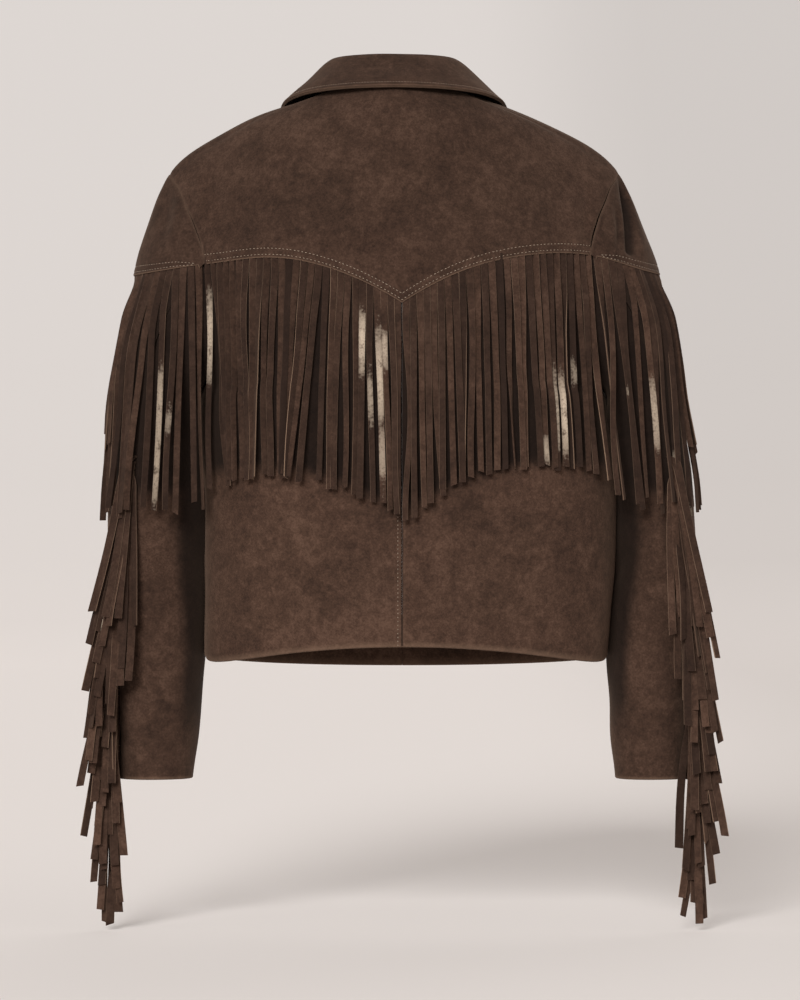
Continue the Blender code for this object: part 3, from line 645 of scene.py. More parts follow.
for word, side in SIDES:
    name = f"suede_back_{word}"
    rows = np.linspace(0, PANEL_TOP, BACK_ROWS)
    columns = np.linspace(SEAM_ROW, 1 - SEAM_HALF, BACK_COLUMNS)
    columns = np.concatenate(([SEAM_HALF, SEAM_LINE], columns))
    piece = body_panel(name, side, rows, columns, BACK_FOLDS, seed=3 + side, fringed=True)
    piece.data.materials.append(suede(f"back suede, {word}", 2 + side, tone=0.93, patches=6.0))
    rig.ride(piece, "root")
    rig.replaces(piece, f"back_panel_{word}")
    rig.slot(piece, "suede_body")
    stitches = []
    if word == "left":
        points, away = faces[name]
        seam_row = points[:, 2], away[:, 2]
        stitches.append(stitched("stitches_centre_back", [seam_row], STITCH_PITCH, 49, 0.4))
        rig.ride(stitches[0], "root")
        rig.slot(stitches[0], "suede_body")
    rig.sheet(piece, **cut_size(faces[name][0]), held="hung", with_pieces=stitches)


# ==== The fronts ================================================================================
# Two fronts of the same suede, from the shoulder seams down to the hem, that meet down the
# middle.  The neckline slopes into their front edges, and the hem is turned as behind.

# Where a row all but reaches the middle, as a share of its length, and how fast that dies away.
FRONTS_MEET, MEET_POWER = -0.0034, 8
FRONT_TOP = SHOULDER_ROW + 0.01
FRONT_ROWS, FRONT_COLUMNS = 170, 60
FRONT_FOLDS = (
    Fold(120, -540, 128, -300, 8, 20, 1.6), Fold(-110, -550, -122, -330, -6, 22, 1.8),
    Fold(60, -560, 66, -400, -5, 16, -1.2), Fold(-58, -520, -50, -380, 4, 15, -1.0),
    Fold(168, -230, 120, -300, 8, 13, 1.5), Fold(-170, -225, -126, -310, -8, 13, 1.4),
    Fold(150, -120, 110, -170, 4, 12, 1.1), Fold(-148, -130, -112, -185, -4, 12, 1.2),
)

for word, side in SIDES:
    name = f"suede_front_{word}"
    rows = np.linspace(HEM_ROW, FRONT_TOP, FRONT_ROWS)
    columns = np.linspace(0, 1 - SEAM_HALF, FRONT_COLUMNS)
    columns = columns + FRONTS_MEET * (1 - columns) ** MEET_POWER
    piece = body_panel(name, side, rows, columns, FRONT_FOLDS, seed=11 + side, fringed=False)
    piece.data.materials.append(suede(f"front suede, {word}", 6 + side, tone=1.0, patches=6.0))
    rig.ride(piece, "root")
    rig.replaces(piece, f"front_panel_{word}")
    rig.slot(piece, "suede_body")
    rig.sheet(piece, **cut_size(faces[name][0]), held="hung")


# ==== The sleeves ===============================================================================
# Each is two pieces of suede: a top sleeve over the outside and an under sleeve beside the body.
# One seam takes the fringe and winds from the back of the arm to its outside.  The cuff is turned.

# x y z: a ring's centre in millimetres.  wide, deep: half its size across and front to back.
# seam: angle of the fringed seam, from straight out (0) towards the back (90).
SleeveRing = namedtuple("SleeveRing", "name x y z wide deep seam")
SLEEVE_RINGS = (
    SleeveRing("upper arm", 247.5, -4, -325, 38.5, 62, 77),
    SleeveRing("above elbow", 253.5, -8, -385, 38.5, 58.5, 72),
    SleeveRing("elbow", 255.5, -13, -445, 39, 54.5, 64),
    SleeveRing("forearm", 247.5, -24, -550, 41, 48.5, 40),
    SleeveRing("wrist", 247.5, -31, -620, 39, 45, 24),
    SleeveRing("cuff", 249, -36, -675, 36.5, 42, 12),
)
CUFF = float(len(SLEEVE_RINGS))
SLEEVE_ROUNDNESS = 2.2                  # 2 is an ellipse, more is squarer
# Beside the body the sleeve hangs fuller: where, how high and how much, in degrees and millimetres.
INNER_TURN, INNER_Z, INNER_HEIGHT, INNER_FULL = 205, -370, 165, 20
UNDER_SEAM_ROW, UNDER_SEAM_TURN = ROW["chest low"], 12.0
HALF_SEAM_TURN = 0.2
SEAM_GAP = 0.3 * MM

armhole_rows = np.arange(UNDERARM_BACK, UNDERARM_FRONT + 0.25, 0.25)
armhole_lengths = lengths_along(body(armhole_rows, 1)[:, None], 0)[:, 0]


def angle_of_row(v):
    """Angle round the sleeve that belongs to an armhole row: 180 underarm, 90 back, 0 top."""
    return 180 - 360 * eased(armhole_rows, armhole_lengths, v) / armhole_lengths[-1]


fine_rows = np.linspace(UNDERARM_BACK, UNDERARM_FRONT, 4001)
fine_turns = -angle_of_row(fine_rows)


def row_of_angle(angle):
    return np.interp(-np.where(angle > 180, angle - 360, angle), fine_turns, fine_rows)


def ring_point(s, angle):
    """Points of the sleeve's tube at ring s (1 is the upper arm) and an angle in degrees."""
    ring = table_row(SLEEVE_RINGS, s - 1)
    c, d = np.cos(np.radians(angle)), np.sin(np.radians(angle))
    power = 2 / SLEEVE_ROUNDNESS
    inner = np.clip(np.cos(np.radians(angle - INNER_TURN)), 0, 1) ** 2
    full = INNER_FULL * bell(ring.z - INNER_Z, INNER_HEIGHT)
    x = ring.x + ring.wide * np.sign(c) * np.abs(c) ** power - full * inner
    y = ring.y + ring.deep * np.sign(d) * np.abs(d) ** power
    return np.stack((x, y, ring.z), -1) * MM


def sleeve(s, angle):
    """Points of the left sleeve: s is 0 at the armhole, 1 at the upper arm, then by rings."""
    s, angle = np.broadcast_arrays(np.asarray(s, float), np.asarray(angle, float))
    start, end = body(row_of_angle(angle), 1), ring_point(np.ones_like(s), angle)
    away = np.sin(np.radians(np.abs(angle)) / 2)
    leave = unit(np.stack((0.45 + 0.5 * away, 0 * away, -0.9 + 0.45 * away), -1))
    arrive = unit(ring_point(np.full_like(s, 1.05), angle) - end)
    length = np.linalg.norm(end - start, axis=-1, keepdims=True)
    t = np.minimum(s, 1)[..., None]
    upper = (
        start * ((1 + 2 * t) * (1 - t) ** 2) + leave * (length * t * (1 - t) ** 2)
        + end * (t * t * (3 - 2 * t)) - arrive * (length * t * t * (1 - t))
    )
    return np.where(s[..., None] < 1, upper, ring_point(np.maximum(s, 1), angle))


def sleeve_out(s, angle, step=0.004, turn=0.4):
    """Unit directions out of the sleeve."""
    down = sleeve(np.minimum(s + step, CUFF), angle) - sleeve(np.maximum(s - step, 0), angle)
    return unit(np.cross(down, sleeve(s, angle + turn) - sleeve(s, angle - turn)))


# The lowest point of a cap's edge, how far it laps over what is under it, and its ends' ring.
CAP_EDGE_LOW, SEAM_LAP, CAP_END = -171 * MM, 8 * MM, 0.045
CAP_FIRST, CAP_LAST = YOKE_ROW + 0.02, FRONT_NOTCH - 0.15
SEAM_START = float(angle_of_row(YOKE_ROW))      # where the fringed seam leaves the armhole


def cap_edge(angle, above=0.0):
    """Ring numbers of the cap yoke's lower edge at some angles, or of a line above it."""
    notch = body(YOKE_ROW, 1)[2]
    share = np.minimum(np.abs(angle) / SEAM_START, 1)
    height = CAP_EDGE_LOW + (notch - CAP_EDGE_LOW) * share ** 3 + above
    low, high = np.zeros_like(angle), np.ones_like(angle)
    for _ in range(22):
        middle = (low + high) / 2
        over = sleeve(middle, angle)[..., 2] > height
        low, high = np.where(over, middle, low), np.where(over, high, middle)
    return np.where(height >= sleeve(0, angle)[..., 2], 0, (low + high) / 2)


def wound(s, angle, last):
    """Angles of the upper arm, carried down between two seams that wind round the sleeve."""
    seam = table_row(SLEEVE_RINGS, np.maximum(s - 1, 0)).seam - SLEEVE_RINGS[0].seam
    low = SEAM_START + seam
    high = last + UNDER_SEAM_TURN * np.maximum(s - 1, 0) / (CUFF - 1)
    return low + (angle - SEAM_START) / (last - SEAM_START) * (high - low)


SLEEVE_FOLDS = {
    1: (Fold(60, -430, 20, -500, 6, 12, 1.8), Fold(-20, -520, 36, -590, -8, 14, 1.6)),
    -1: (Fold(50, -440, 10, -520, 8, 12, 1.6), Fold(-30, -560, 30, -620, -6, 13, 1.5)),
}
UNDER_FOLDS = {
    1: (Fold(110, -400, 150, -470, 6, 12, 1.8), Fold(80, -560, 130, -600, -5, 11, 1.5)),
    -1: (Fold(100, -420, 150, -490, -6, 12, 1.7), Fold(90, -580, 130, -640, 5, 11, 1.5)),
}
ROUND = 0.85 * MM                       # of suede for each degree round the sleeve
SLEEVE_COLUMNS, LOWER_ROWS, UPPER_ROWS = 46, 88, 45
# Painted shade lies under the cap fringe, above a height and behind a depth, beside the fringed seam
# below a height, as far as a width, and on the side by the body above a height, between two angles.
SLEEVE_PAINTED_SHADE, FRINGE_SOFT = 0.85, 20 * MM
UNDER_CAP_FRINGE, CAP_FRINGE_FRONT, FRONT_SOFT = -400 * MM, -72 * MM, 30 * MM
SEAM_FRINGE_TOP, BY_SEAM, BY_SEAM_SOFT = -380 * MM, 39 * MM, 30 * MM
BESIDE_BODY, BESIDE_TURN_SOFT = (118, 235), 22
BESIDE_BODY_SHADE, BESIDE_LOW, BESIDE_SOFT = 0.95, -640 * MM, 50 * MM


def edge_rows(near, reach, count):
    """Places in from an edge, column by column: those near it, then even ones on to a reach."""
    even = near[-1] + (reach - near[-1]) * np.linspace(0, 1, count)[1:, None]
    return np.concatenate((near, even))


def painted_shade_on_sleeve(angle, points, run, capped):
    """Painted shade on a sleeve's suede, under fringe and beside the body: how dark it is made."""
    height = points[..., 2]
    deep = smooth((height - UNDER_CAP_FRINGE) / FRINGE_SOFT)
    deep = deep * smooth((points[..., 1] - CAP_FRINGE_FRONT) / FRONT_SOFT)
    beside = BESIDE_BODY_SHADE * smooth((height - BESIDE_LOW) / BESIDE_SOFT)
    for turn in (angle - BESIDE_BODY[0], BESIDE_BODY[1] - angle):
        beside = beside * smooth(turn / BESIDE_TURN_SOFT)
    deep = np.maximum(deep, beside)
    if capped:
        by_seam = smooth((SEAM_FRINGE_TOP - height) / FRINGE_SOFT)
        deep = np.maximum(deep, by_seam * smooth((BY_SEAM - run) / BY_SEAM_SOFT))
    return SLEEVE_PAINTED_SHADE * deep


def sleeve_panel(name, side, last, capped, folds, seed):
    """A sleeve's panel from the fringed seam round to the other, its first row a turned cuff."""
    stops = np.linspace(SEAM_START, last, SLEEVE_COLUMNS)
    inwards = np.linspace(1, -1, SLEEVE_COLUMNS)
    angle = stops + inwards * math.copysign(HALF_SEAM_TURN, last - SEAM_START)
    length = np.linalg.norm(sleeve(1, angle) - sleeve(0, angle), axis=-1)
    top = SEAM_GAP / 2 / length
    if capped:
        rows = row_of_angle(stops)
        under = (rows > CAP_FIRST - 0.01) & (rows < CAP_LAST + 0.01)
        edge = np.maximum(cap_edge(stops), CAP_END)
        top = np.where(under, np.maximum(cap_edge(stops, SEAM_LAP), 0.6 * edge), top)
    drops = [-ring.z for ring in SLEEVE_RINGS]
    lower = np.interp(np.linspace(drops[-1], drops[0], LOWER_ROWS), drops, range(1, 1 + len(drops)))
    s = edge_rows(lower[:, None].repeat(SLEEVE_COLUMNS, 1), top, UPPER_ROWS)
    angle = wound(s, angle[None], last)
    points, away = sleeve(s, angle), sleeve_out(s, angle) * (side, 1, 1)
    run, rise = lengths_along(points, 1), lengths_along(points, 0)
    to_top = np.where(top > 0.01, 1, rise[-1] - rise)
    edge = np.minimum(np.minimum(run, run[:, -1:] - run), to_top)
    points = settled(points, side)
    sunk = folded(angle * ROUND, points[..., 2], folds) + rolled(edge)
    sunk += uneven(points, seed, size=0.1, deep=0.8 * MM)
    points = points - away * sunk[..., None]
    faces[name] = points, away
    # Painted shade under the fringe and in the gap by the body.
    deep = painted_shade_on_sleeve(angle, points, run, capped)
    whole, worn, deep = hemmed(points, away, worn_near(edge, *SEAM_WORN), deep)
    return walled(sheet_mesh(name, whole, away, worn, deep))


top_last = float(angle_of_row(UNDER_SEAM_ROW))
for word, side in SIDES:
    for part, last, capped, folds, seed in (
            ("top", top_last, True, SLEEVE_FOLDS[side], 20 + side),
            ("under", top_last + 360, False, UNDER_FOLDS[side], 30 + side)):
        name = f"suede_{part}_sleeve_{word}"
        piece = sleeve_panel(name, side, last, capped, folds, seed)
        # The sleeves' suede is toned darker than the back's: painted shade.
        hide = suede(f"{part} sleeve suede, {word}", seed, tone=0.80, patches=8.0)
        piece.data.materials.append(hide)
        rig.ride(piece, "root")
        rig.replaces(piece, f"{part}_sleeve_{word}")
        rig.slot(piece, "suede_sleeve")
        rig.sheet(piece, **cut_size(faces[name][0]), held="hung")


# ==== The back yoke =============================================================================
# One piece across both shoulder blades and over the shoulders, pointed below.  It lies on the
# back and is topstitched along its lower edge with two rows of tan thread, over the fringe.

YOKE_OUT = 3.3 * MM                     # its outer face lies this far over the back
YOKE_LEVEL = 0.3 * MM                   # and this far at the shoulder seam, with nothing under it
YOKE_DOWN_FROM, YOKE_DOWN_OVER = 11.2, 1.7      # the rows over which it comes down to that
EDGE_WORN = 0.45, 0.9 * MM              # how light its edge is rubbed, over what width
STITCH_IN = (3.0, 9.0)                  # rows of stitches from the edge, in millimetres
NEAR_EDGE = (0, 0.15, 0.4, 0.8, 1.5, 2.3, 3.0, 3.7, 4.6, 6, 7.4, 8.3, 9.0, 9.7, 11, 13.5, 16.5)
ARMHOLE_SOFT, ARMHOLE_ROLL = 8 * MM, 0.5
EDGE_ROUND = 0.7 * MM                   # how wide its edge is rounded over
YOKE_COLUMNS, YOKE_MIDDLE_ROWS, YOKE_HIGH_ROWS = 56, 46, 36

YOKE_FOLDS = (
    Fold(192, -75, 180, -125, 3, 8, 1.8), Fold(203, -70, 196, -120, -2, 5, -1.0),
    Fold(-184, -80, -180, -142, 2, 6, 1.8), Fold(-170, -90, -170, -150, 2, 6, -0.8),
    Fold(120, -60, 60, -40, 6, 16, 1.0), Fold(-120, -70, -60, -50, -6, 18, 1.1),
    Fold(60, -190, 150, -120, -8, 22, 0.8), Fold(-60, -190, -140, -130, 8, 24, 0.9),
)


def seam_out(v):
    """Direction shared by the pieces that meet at the armhole, halfway between the two."""
    return unit(body_out(v, 1) + sleeve_out(0.01, angle_of_row(v)))


def places_at(values, points, targets):
    """Surface numbers at given lengths from each column's start, from rows of both."""
    run = lengths_along(points, 0)
    columns = range(values.shape[1])
    return np.stack([np.interp(targets[:, j], run[:, j], values[:, j]) for j in columns], 1)


def edge_shape(distance, rows=STITCH_IN, rounded=0.55 * MM, pulled=0.38 * MM, pull_wide=0.75):
    """How far a topstitched piece sinks near its edge: rounded over, and pulled in by stitches."""
    shape = rounded * bell(distance, EDGE_ROUND)
    for row in rows:
        shape = shape + pulled * bell(distance / MM - row, pull_wide)
    return shape


def yoke_out(v):
    """How far the yoke lies out at some rows."""
    down = smooth((v - YOKE_DOWN_FROM) / YOKE_DOWN_OVER)
    return YOKE_LEVEL + (YOKE_OUT - YOKE_LEVEL) * (1 - down)


def leaned(away, seam, distance):
    """Directions that lean over to a seam's own near it."""
    share = bell(distance, ARMHOLE_SOFT)[..., None]
    return unit(away * (1 - share) + seam * share)


def joined(pieces):
    """Some pieces, joined into the first of them."""
    bpy.ops.object.select_all(action="DESELECT")
    for piece in pieces:
        piece.select_set(True)
    bpy.context.view_layer.objects.active = pieces[0]
    bpy.ops.object.join()
    return bpy.context.object


yoke_rows = {}
halves = []
for word, side in SIDES:
    u = np.linspace(0, 1 - SEAM_HALF, YOKE_COLUMNS)
    near = np.linspace(YOKE_ROW, YOKE_ROW + 1, 101)[:, None].repeat(len(u), 1)
    close = np.array(NEAR_EDGE)[:, None] * MM * np.ones(len(u))
    low = places_at(near, body(near, u), close)
    high = np.linspace(NECK_ROW, SHOULDER_ROW - 0.01, YOKE_HIGH_ROWS)[1:, None].repeat(len(u), 1)
    v = np.concatenate((edge_rows(low, NECK_ROW, YOKE_MIDDLE_ROWS), high))
    points, away = body(v, u), body_out(v, u)
    run, from_edge = lengths_along(points, 1), lengths_along(points, 0)
    to_arm = run[:, -1:] - run
    away = leaned(away, seam_out(v[:, -1:]), to_arm)
    points = points + away * yoke_out(v)[..., None]
    points[v[:, 0] <= NECK_ROW, 0, 0] = 0
    away = away * (side, 1, 1)
    points = settled(points, side)
    sunk = folded(points[..., 0], points[..., 2], YOKE_FOLDS) + edge_shape(from_edge)
    sunk += ARMHOLE_ROLL * rolled(to_arm)
    sunk += uneven(points, 41, size=0.12, deep=0.8 * MM) * smooth(from_edge / (30 * MM))
    points = points - away * sunk[..., None]
    yoke_rows[side] = points, away
    worn = np.maximum(worn_near(to_arm, *SEAM_WORN), worn_near(from_edge, *EDGE_WORN))
    halves.append(sheet_mesh(f"suede_yoke_{word}", points, away, worn))
yoke = joined(halves)
bpy.ops.object.mode_set(mode="EDIT")
bpy.ops.mesh.select_all(action="SELECT")
bpy.ops.mesh.remove_doubles(threshold=0.02 * MM)
bpy.ops.object.mode_set(mode="OBJECT")
yoke = walled(yoke)
yoke.name = yoke.data.name = "suede_yoke"
# The yoke's suede is toned darker than the back's: painted shade.
yoke.data.materials.append(suede("yoke suede", 5.3, tone=0.74, patches=5.0))
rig.ride(yoke, "root")
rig.replaces(yoke, "back_yoke")
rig.slot(yoke, "suede_yoke")

STITCH_ROWS = [NEAR_EDGE.index(inwards) for inwards in STITCH_IN]
lines = [
    [np.concatenate((right[row, ::-1], left[row, 1:])) for left, right in zip(*yoke_rows.values())]
    for row in STITCH_ROWS]
piece = stitched("stitches_yoke", lines, STITCH_PITCH, 51)
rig.ride(piece, "root")
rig.slot(piece, "suede_yoke")
half_cut = cut_size(yoke_rows[1][0])
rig.sheet(yoke, flat=(2 * half_cut["flat"][0], half_cut["flat"][1]), area=2 * half_cut["area"],
         held="hung", with_pieces=[piece])


# ==== The sleeves' cap yokes ====================================================================
# A shaped piece over the top of each sleeve, set into the armhole with it, and topstitched along
# its lower edge over its own fringe.  It narrows to nothing at both notches.

CAP_FOLDS = {
    1: (Fold(236, -76, 240, -140, 3, 7, 2.6), Fold(224, -90, 228, -145, 2, 6, -1.2)),
    -1: (Fold(-221, -58, -227, -178, 3, 5.6, 9.5), Fold(-212, -104, -214, -150, 2, 3.6, 4.2),
         Fold(-236, -80, -240, -150, -3, 8, -1.2)),
}
# Creases lie where the cap faces the back more than this, and end above what it is sewn over.
CREASED_FROM, CREASED_OVER, CREASE_END = 0.22, 0.25, 14 * MM
CREASE_PAINTED_SHADE, DARK_FROM, DARK_OVER = 0.8, 1.5, 5         # how dark their painted shade is, from what depth on
CAP_DOWN = 14 * MM                      # how near the armhole a cap comes down to the yoke

for word, side in SIDES:
    name = f"suede_cap_yoke_{word}"
    angle = np.linspace(float(angle_of_row(CAP_FIRST)), float(angle_of_row(CAP_LAST)), 64)
    edge = np.maximum(cap_edge(angle), CAP_END)
    length = np.linalg.norm(sleeve(1, angle) - sleeve(0, angle), axis=-1)
    fine = edge + (SEAM_GAP / 2 / length - edge) * np.linspace(0, 1, 121)[:, None]
    tall = lengths_along(sleeve(fine, angle), 0)[-1]
    shrink = np.minimum(1, tall / (45 * MM))
    close = np.array(NEAR_EDGE)[:, None] * MM * shrink
    targets = edge_rows(close, tall, 31)
    s = places_at(fine, sleeve(fine, angle), targets)
    points, away = sleeve(s, angle), sleeve_out(s, angle)
    to_arm = tall - targets
    v = row_of_angle(angle)
    away = leaned(away, seam_out(v)[None], to_arm)
    lift = YOKE_OUT + (yoke_out(v) - YOKE_OUT) * bell(to_arm, CAP_DOWN)
    points = points + away * lift[..., None]
    away = away * (side, 1, 1)
    points = settled(points, side)
    creased = smooth((away[..., 1] - CREASED_FROM) / CREASED_OVER)
    creased = creased * smooth((targets - SEAM_LAP) / CREASE_END)
    sunk = folded(points[..., 0], points[..., 2], CAP_FOLDS[side]) * creased
    # Painted shade in the creases, darker where they sink deeper.
    deep = CREASE_PAINTED_SHADE * smooth((sunk / MM - DARK_FROM) / DARK_OVER)
    sunk += ARMHOLE_ROLL * rolled(to_arm) + edge_shape(targets)
    sunk += uneven(points, 45 + side, size=0.09, deep=0.8 * MM) * smooth(targets / (25 * MM))
    points = points - away * sunk[..., None]
    worn = np.maximum(worn_near(to_arm, *SEAM_WORN), worn_near(targets, *EDGE_WORN))
    cap = walled(sheet_mesh(name, points, away, worn, deep))
    # The caps' suede is toned darkest: painted shade on the sides of the arms.
    cap.data.materials.append(suede(f"cap suede, {word}", 8 + side, tone=0.62, patches=7.0))
    lines = [(points[row, 2:-5], away[row, 2:-5]) for row in STITCH_ROWS]
    piece = stitched(f"stitches_cap_{word}", lines, STITCH_PITCH, 55 + side)
    for each in (cap, piece):
        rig.ride(each, "root")
        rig.slot(each, "suede_yoke")
    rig.replaces(cap, f"sleeve_cap_yoke_{word}")
    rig.sheet(cap, **cut_size(points), held="hung", with_pieces=[piece])


# ==== The collar ================================================================================
# A shirt collar of two leaves of suede, folded over a stand.  The fall lies on the yoke behind
# and ends in points in front.  One row of fine tan stitches runs round its outer edge.

# row: where its seam sits along the body rows.  fold: top of the stand.  edge: outer edge.
CollarStation = namedtuple("CollarStation", "name row fold_x fold_y fold_z edge_x edge_y edge_z")
COLLAR_STATIONS = (
    CollarStation("centre back", 10.0, 0, 57, 45, 0, 103, 12),
    CollarStation("back", 10.5, 25, 52, 45, 38, 98, 11.5),
    CollarStation("back corner", 11.0, 48, 39, 44.5, 74, 78, 9.5),
    CollarStation("side back", 11.5, 58, 25, 43, 97, 48, 6.5),
    CollarStation("side", 12.0, 61, 9, 38.5, 110, 15, 2.5),
    CollarStation("shoulder seam", 13.0, 63, -10, 31, 114, -12, -2),
    CollarStation("front corner", 14.0, 61, -32, 20, 117, -40, -18),
    CollarStation("front", 15.0, 52, -58, 0, 118, -76, -64),
    CollarStation("front low", 16.0, 31, -80, -26, 104, -99, -108),
    CollarStation("point", CAP_LAST, 7, -91, -48, 84, -110, -140),
)
# across: share of the way from the fold to the outer edge.  rise: height over that line.
FallRow = namedtuple("FallRow", "name across rise")
FALL_ROWS = (
    FallRow("inside", 0.02, -5.9), FallRow("roll inside", -0.01, -1.7), FallRow("fold", 0.035, 2.4),
    FallRow("roll outside", 0.2, 3.8), FallRow("middle", 0.6, 1.8), FallRow("edge", 1.0, 0.0),
)
COLLAR_LEAF, COLLAR_THICK = 1.4 * MM, 3.0 * MM
COLLAR_STITCH_IN, COLLAR_PITCH = 5.0, 2.8 * MM
COLLAR_WORN = 0.22, 0.9 * MM            # how light its edge is rubbed, over what width
ROW_STEP = 0.1                          # of the body's rows, to find the way along the neckline
COLLAR_NEAR = (0, 0.15, 0.4, 0.8, 1.5, 2.5, 3.5, 4.3, 5.0, 5.7, 6.6, 8.0, 10.0, 12.5)

around = [s._replace(fold_x=-s.fold_x, edge_x=-s.edge_x) for s in COLLAR_STATIONS[:0:-1]]
station = table_row([*around, *COLLAR_STATIONS], np.linspace(0, 2 * len(around), 201))
fold_line = np.stack((station.fold_x, station.fold_y, station.fold_z), -1) * MM
edge_line = np.stack((station.edge_x, station.edge_y, station.edge_z), -1) * MM
up = unit(np.cross(np.gradient(fold_line, axis=0), edge_line - fold_line))


def fall(place):
    """Points of the collar's fall: place counts the rows of its table, along each station."""
    row = table_row(FALL_ROWS, place)
    flat = fold_line + (edge_line - fold_line) * row.across[..., None]
    return flat + up * (row.rise * MM)[..., None]


fine = np.linspace(len(FALL_ROWS) - 1, 0, 161)[:, None].repeat(len(fold_line), 1)
run = lengths_along(fall(fine), 0)[-1]
close = np.array(COLLAR_NEAR)[:, None] * MM * np.ones(len(run))
targets = edge_rows(close, run, 61)
points = fall(places_at(fine, fall(fine), targets))
away = facing(points)
sunk = edge_shape(targets, [COLLAR_STITCH_IN], rounded=0.5 * MM, pulled=0.3 * MM, pull_wide=0.7)
sunk += uneven(points, 61, size=0.07, deep=0.5 * MM) * smooth(targets / (20 * MM))
points = settled(points, 1)
worn = worn_near(targets, *COLLAR_WORN)
leaves = []
for part, lift in (("upper", 0), ("under", COLLAR_LEAF - COLLAR_THICK)):
    leaf = points + away * (lift - sunk)[..., None]
    leaves.append(walled(sheet_mesh(f"suede_collar_{part}", leaf, away, worn), COLLAR_LEAF))
row = COLLAR_NEAR.index(COLLAR_STITCH_IN)
upper_leaf = points - away * sunk[..., None]
stitches = stitched("stitches_collar", [(upper_leaf[row], away[row])], COLLAR_PITCH, 63)
collar = joined(leaves)
collar.name = collar.data.name = "suede_collar_fall"
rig.replaces(collar, "collar_fall")

rows = station.row
off_middle = (rows > NECK_ROW + ROW_STEP)[:, None]
along = np.where(off_middle, body(rows + ROW_STEP, 0) - body(rows - ROW_STEP, 0), (1.0, 0, 0))
right_half = (np.arange(len(rows)) < len(rows) // 2)[:, None]
mirror = np.where(right_half, (-1.0, 1.0, 1.0), (1.0, 1.0, 1.0))
inward = unit(np.cross(along, body_out(rows, 0))) * mirror
seam = body(rows, 0) * mirror + inward * SEAM_GAP
first, second = fall(np.zeros(len(rows))), fall(np.ones(len(rows)))
top = first + unit(first - second) * SEAM_GAP - away[-1] * COLLAR_THICK
share = np.linspace(0, 1, 15)[:, None, None]
points = settled(seam + (top - seam) * share, 1)
stand_away = -unit(points.mean((0, 1)) * (1, 1, 0) - points * (1, 1, 0))
unworn = np.zeros(points.shape[:2])
stand = walled(sheet_mesh("suede_collar_stand", points, stand_away, unworn), COLLAR_THICK)
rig.replaces(stand, "collar_stand")
# The collar's suede is toned darker than the back's: painted shade.
collar_suede = suede("collar suede", 12.4, tone=0.74, patches=8.0)
for each in (collar, stand):
    each.data.materials.append(collar_suede)
for each in (collar, stand, stitches):
    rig.ride(each, "root")
    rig.slot(each, "suede_collar")
leaf_cut = cut_size(upper_leaf)
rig.sheet(collar, flat=(leaf_cut["flat"][0], 2 * leaf_cut["flat"][1]), area=2 * leaf_cut["area"],
         held="folded", with_pieces=[stitches])
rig.sheet(stand, **cut_size(points), held="folded")


# ==== The fringe on the back ====================================================================
# One long band of suede behind the yoke's lower edge, cut into strips about as wide as a pencil,
# that hang down over the back.  A few strips are metallic, with highlights painted into their colour where they gleam.

STRIP, STRIP_WIDE, STRIP_PITCH = 1.2 * MM, 7.0 * MM, 7.5 * MM
ROOT_OUT = 0.9 * MM                     # a strip's middle lies this far over the panel at its root
STRIP_RINGS = 30
# across, through: a strip's section, in shares of its width and thickness, with eased corners.
SECTION = np.array((
    (-0.5, 0.2), (-0.46, 0.5), (0, 0.5), (0.46, 0.5), (0.5, 0.2),
    (0.5, -0.2), (0.46, -0.5), (0, -0.5), (-0.46, -0.5), (-0.5, -0.2)))
CUT_SIDES = (0, 3, 4, 5, 8, 9)          # the section's sides that the knife has cut
# Painted highlight on the metallic strips: its brightest and its dullest colour.
GLEAM_PAINT_BRIGHT, GLEAM_PAINT_DULL = (0.43, 0.345, 0.26), (0.080, 0.058, 0.042)
# The metal and its painted highlight are broken up by two noises: scale, detail, and how much they are drawn out up
# and down.
GLEAM_NOISES = (420, 3, 1), (75, 5, 0.8)
FOIL_AND_GLEAM_KEPT = 1.85, -0.9, -1.2            # weights of a gleam and both noises: where the metal and its painted highlight are kept
GLEAM_PAINT_LIVELY = 1.3, 2.4, -1.55           # weights of both noises and what is kept: where the painted highlight is bright
CUT_PALE = 0.85                         # how pale a cut edge can be
GLEAM_FADE, GLEAM_FADE_SHARE = 100, 0.9   # a painted gleam fades over this length, or this share of its own
GLEAM_FLAT = 0.25                        # the share of its twist that a strip with a painted gleam keeps
UNDER_NAP = (0.010, 0.0055, 0.004)      # the darkest strips' tone
# What the strips differ by: a curl's turn in degrees, the share of its width that a strip loses,
# its tone (middle, spread, most), its cup (middle, spread) and its end's slant in millimetres.
CURL, NARROWED, STRIP_TONE = (35, 75), (0.08, 0.26), (0.38, 0.19, 0.8)
CUPPED, SLANTED = (0.1, 0.35), 1.3

# path: points down its middle.  flat: the way its face looks.  wide, twist, cup, metal with its painted gleam: along
# it.
# tone: how dark its nap is.  pale: how light its cut edges are.  slant: of its end.
Strip = namedtuple("Strip", "path flat wide twist cup shine tone pale slant")
# A painted gleam on the strip nearest to x, between two heights, in millimetres.
Gleam = namedtuple("Gleam", "x high low strong")


def skin_tree():
    """The outer faces of all panels, to lay strips on."""
    corners, cells = [], []
    for points, away in faces.values():
        rows, columns = points.shape[:2]
        start = sum(len(part) for part in corners)
        number = start + np.arange(rows * columns).reshape(rows, columns)
        quads = np.stack((number[:-1, :-1], number[1:, :-1], number[1:, 1:], number[:-1, 1:]), -1)
        cells.append((quads if looks_along(points, away) else quads[..., ::-1]).reshape(-1, 4))
        corners.append(points.reshape(-1, 3))
    return BVHTree.FromPolygons(np.concatenate(corners).tolist(), np.concatenate(cells).tolist())


skin = skin_tree()


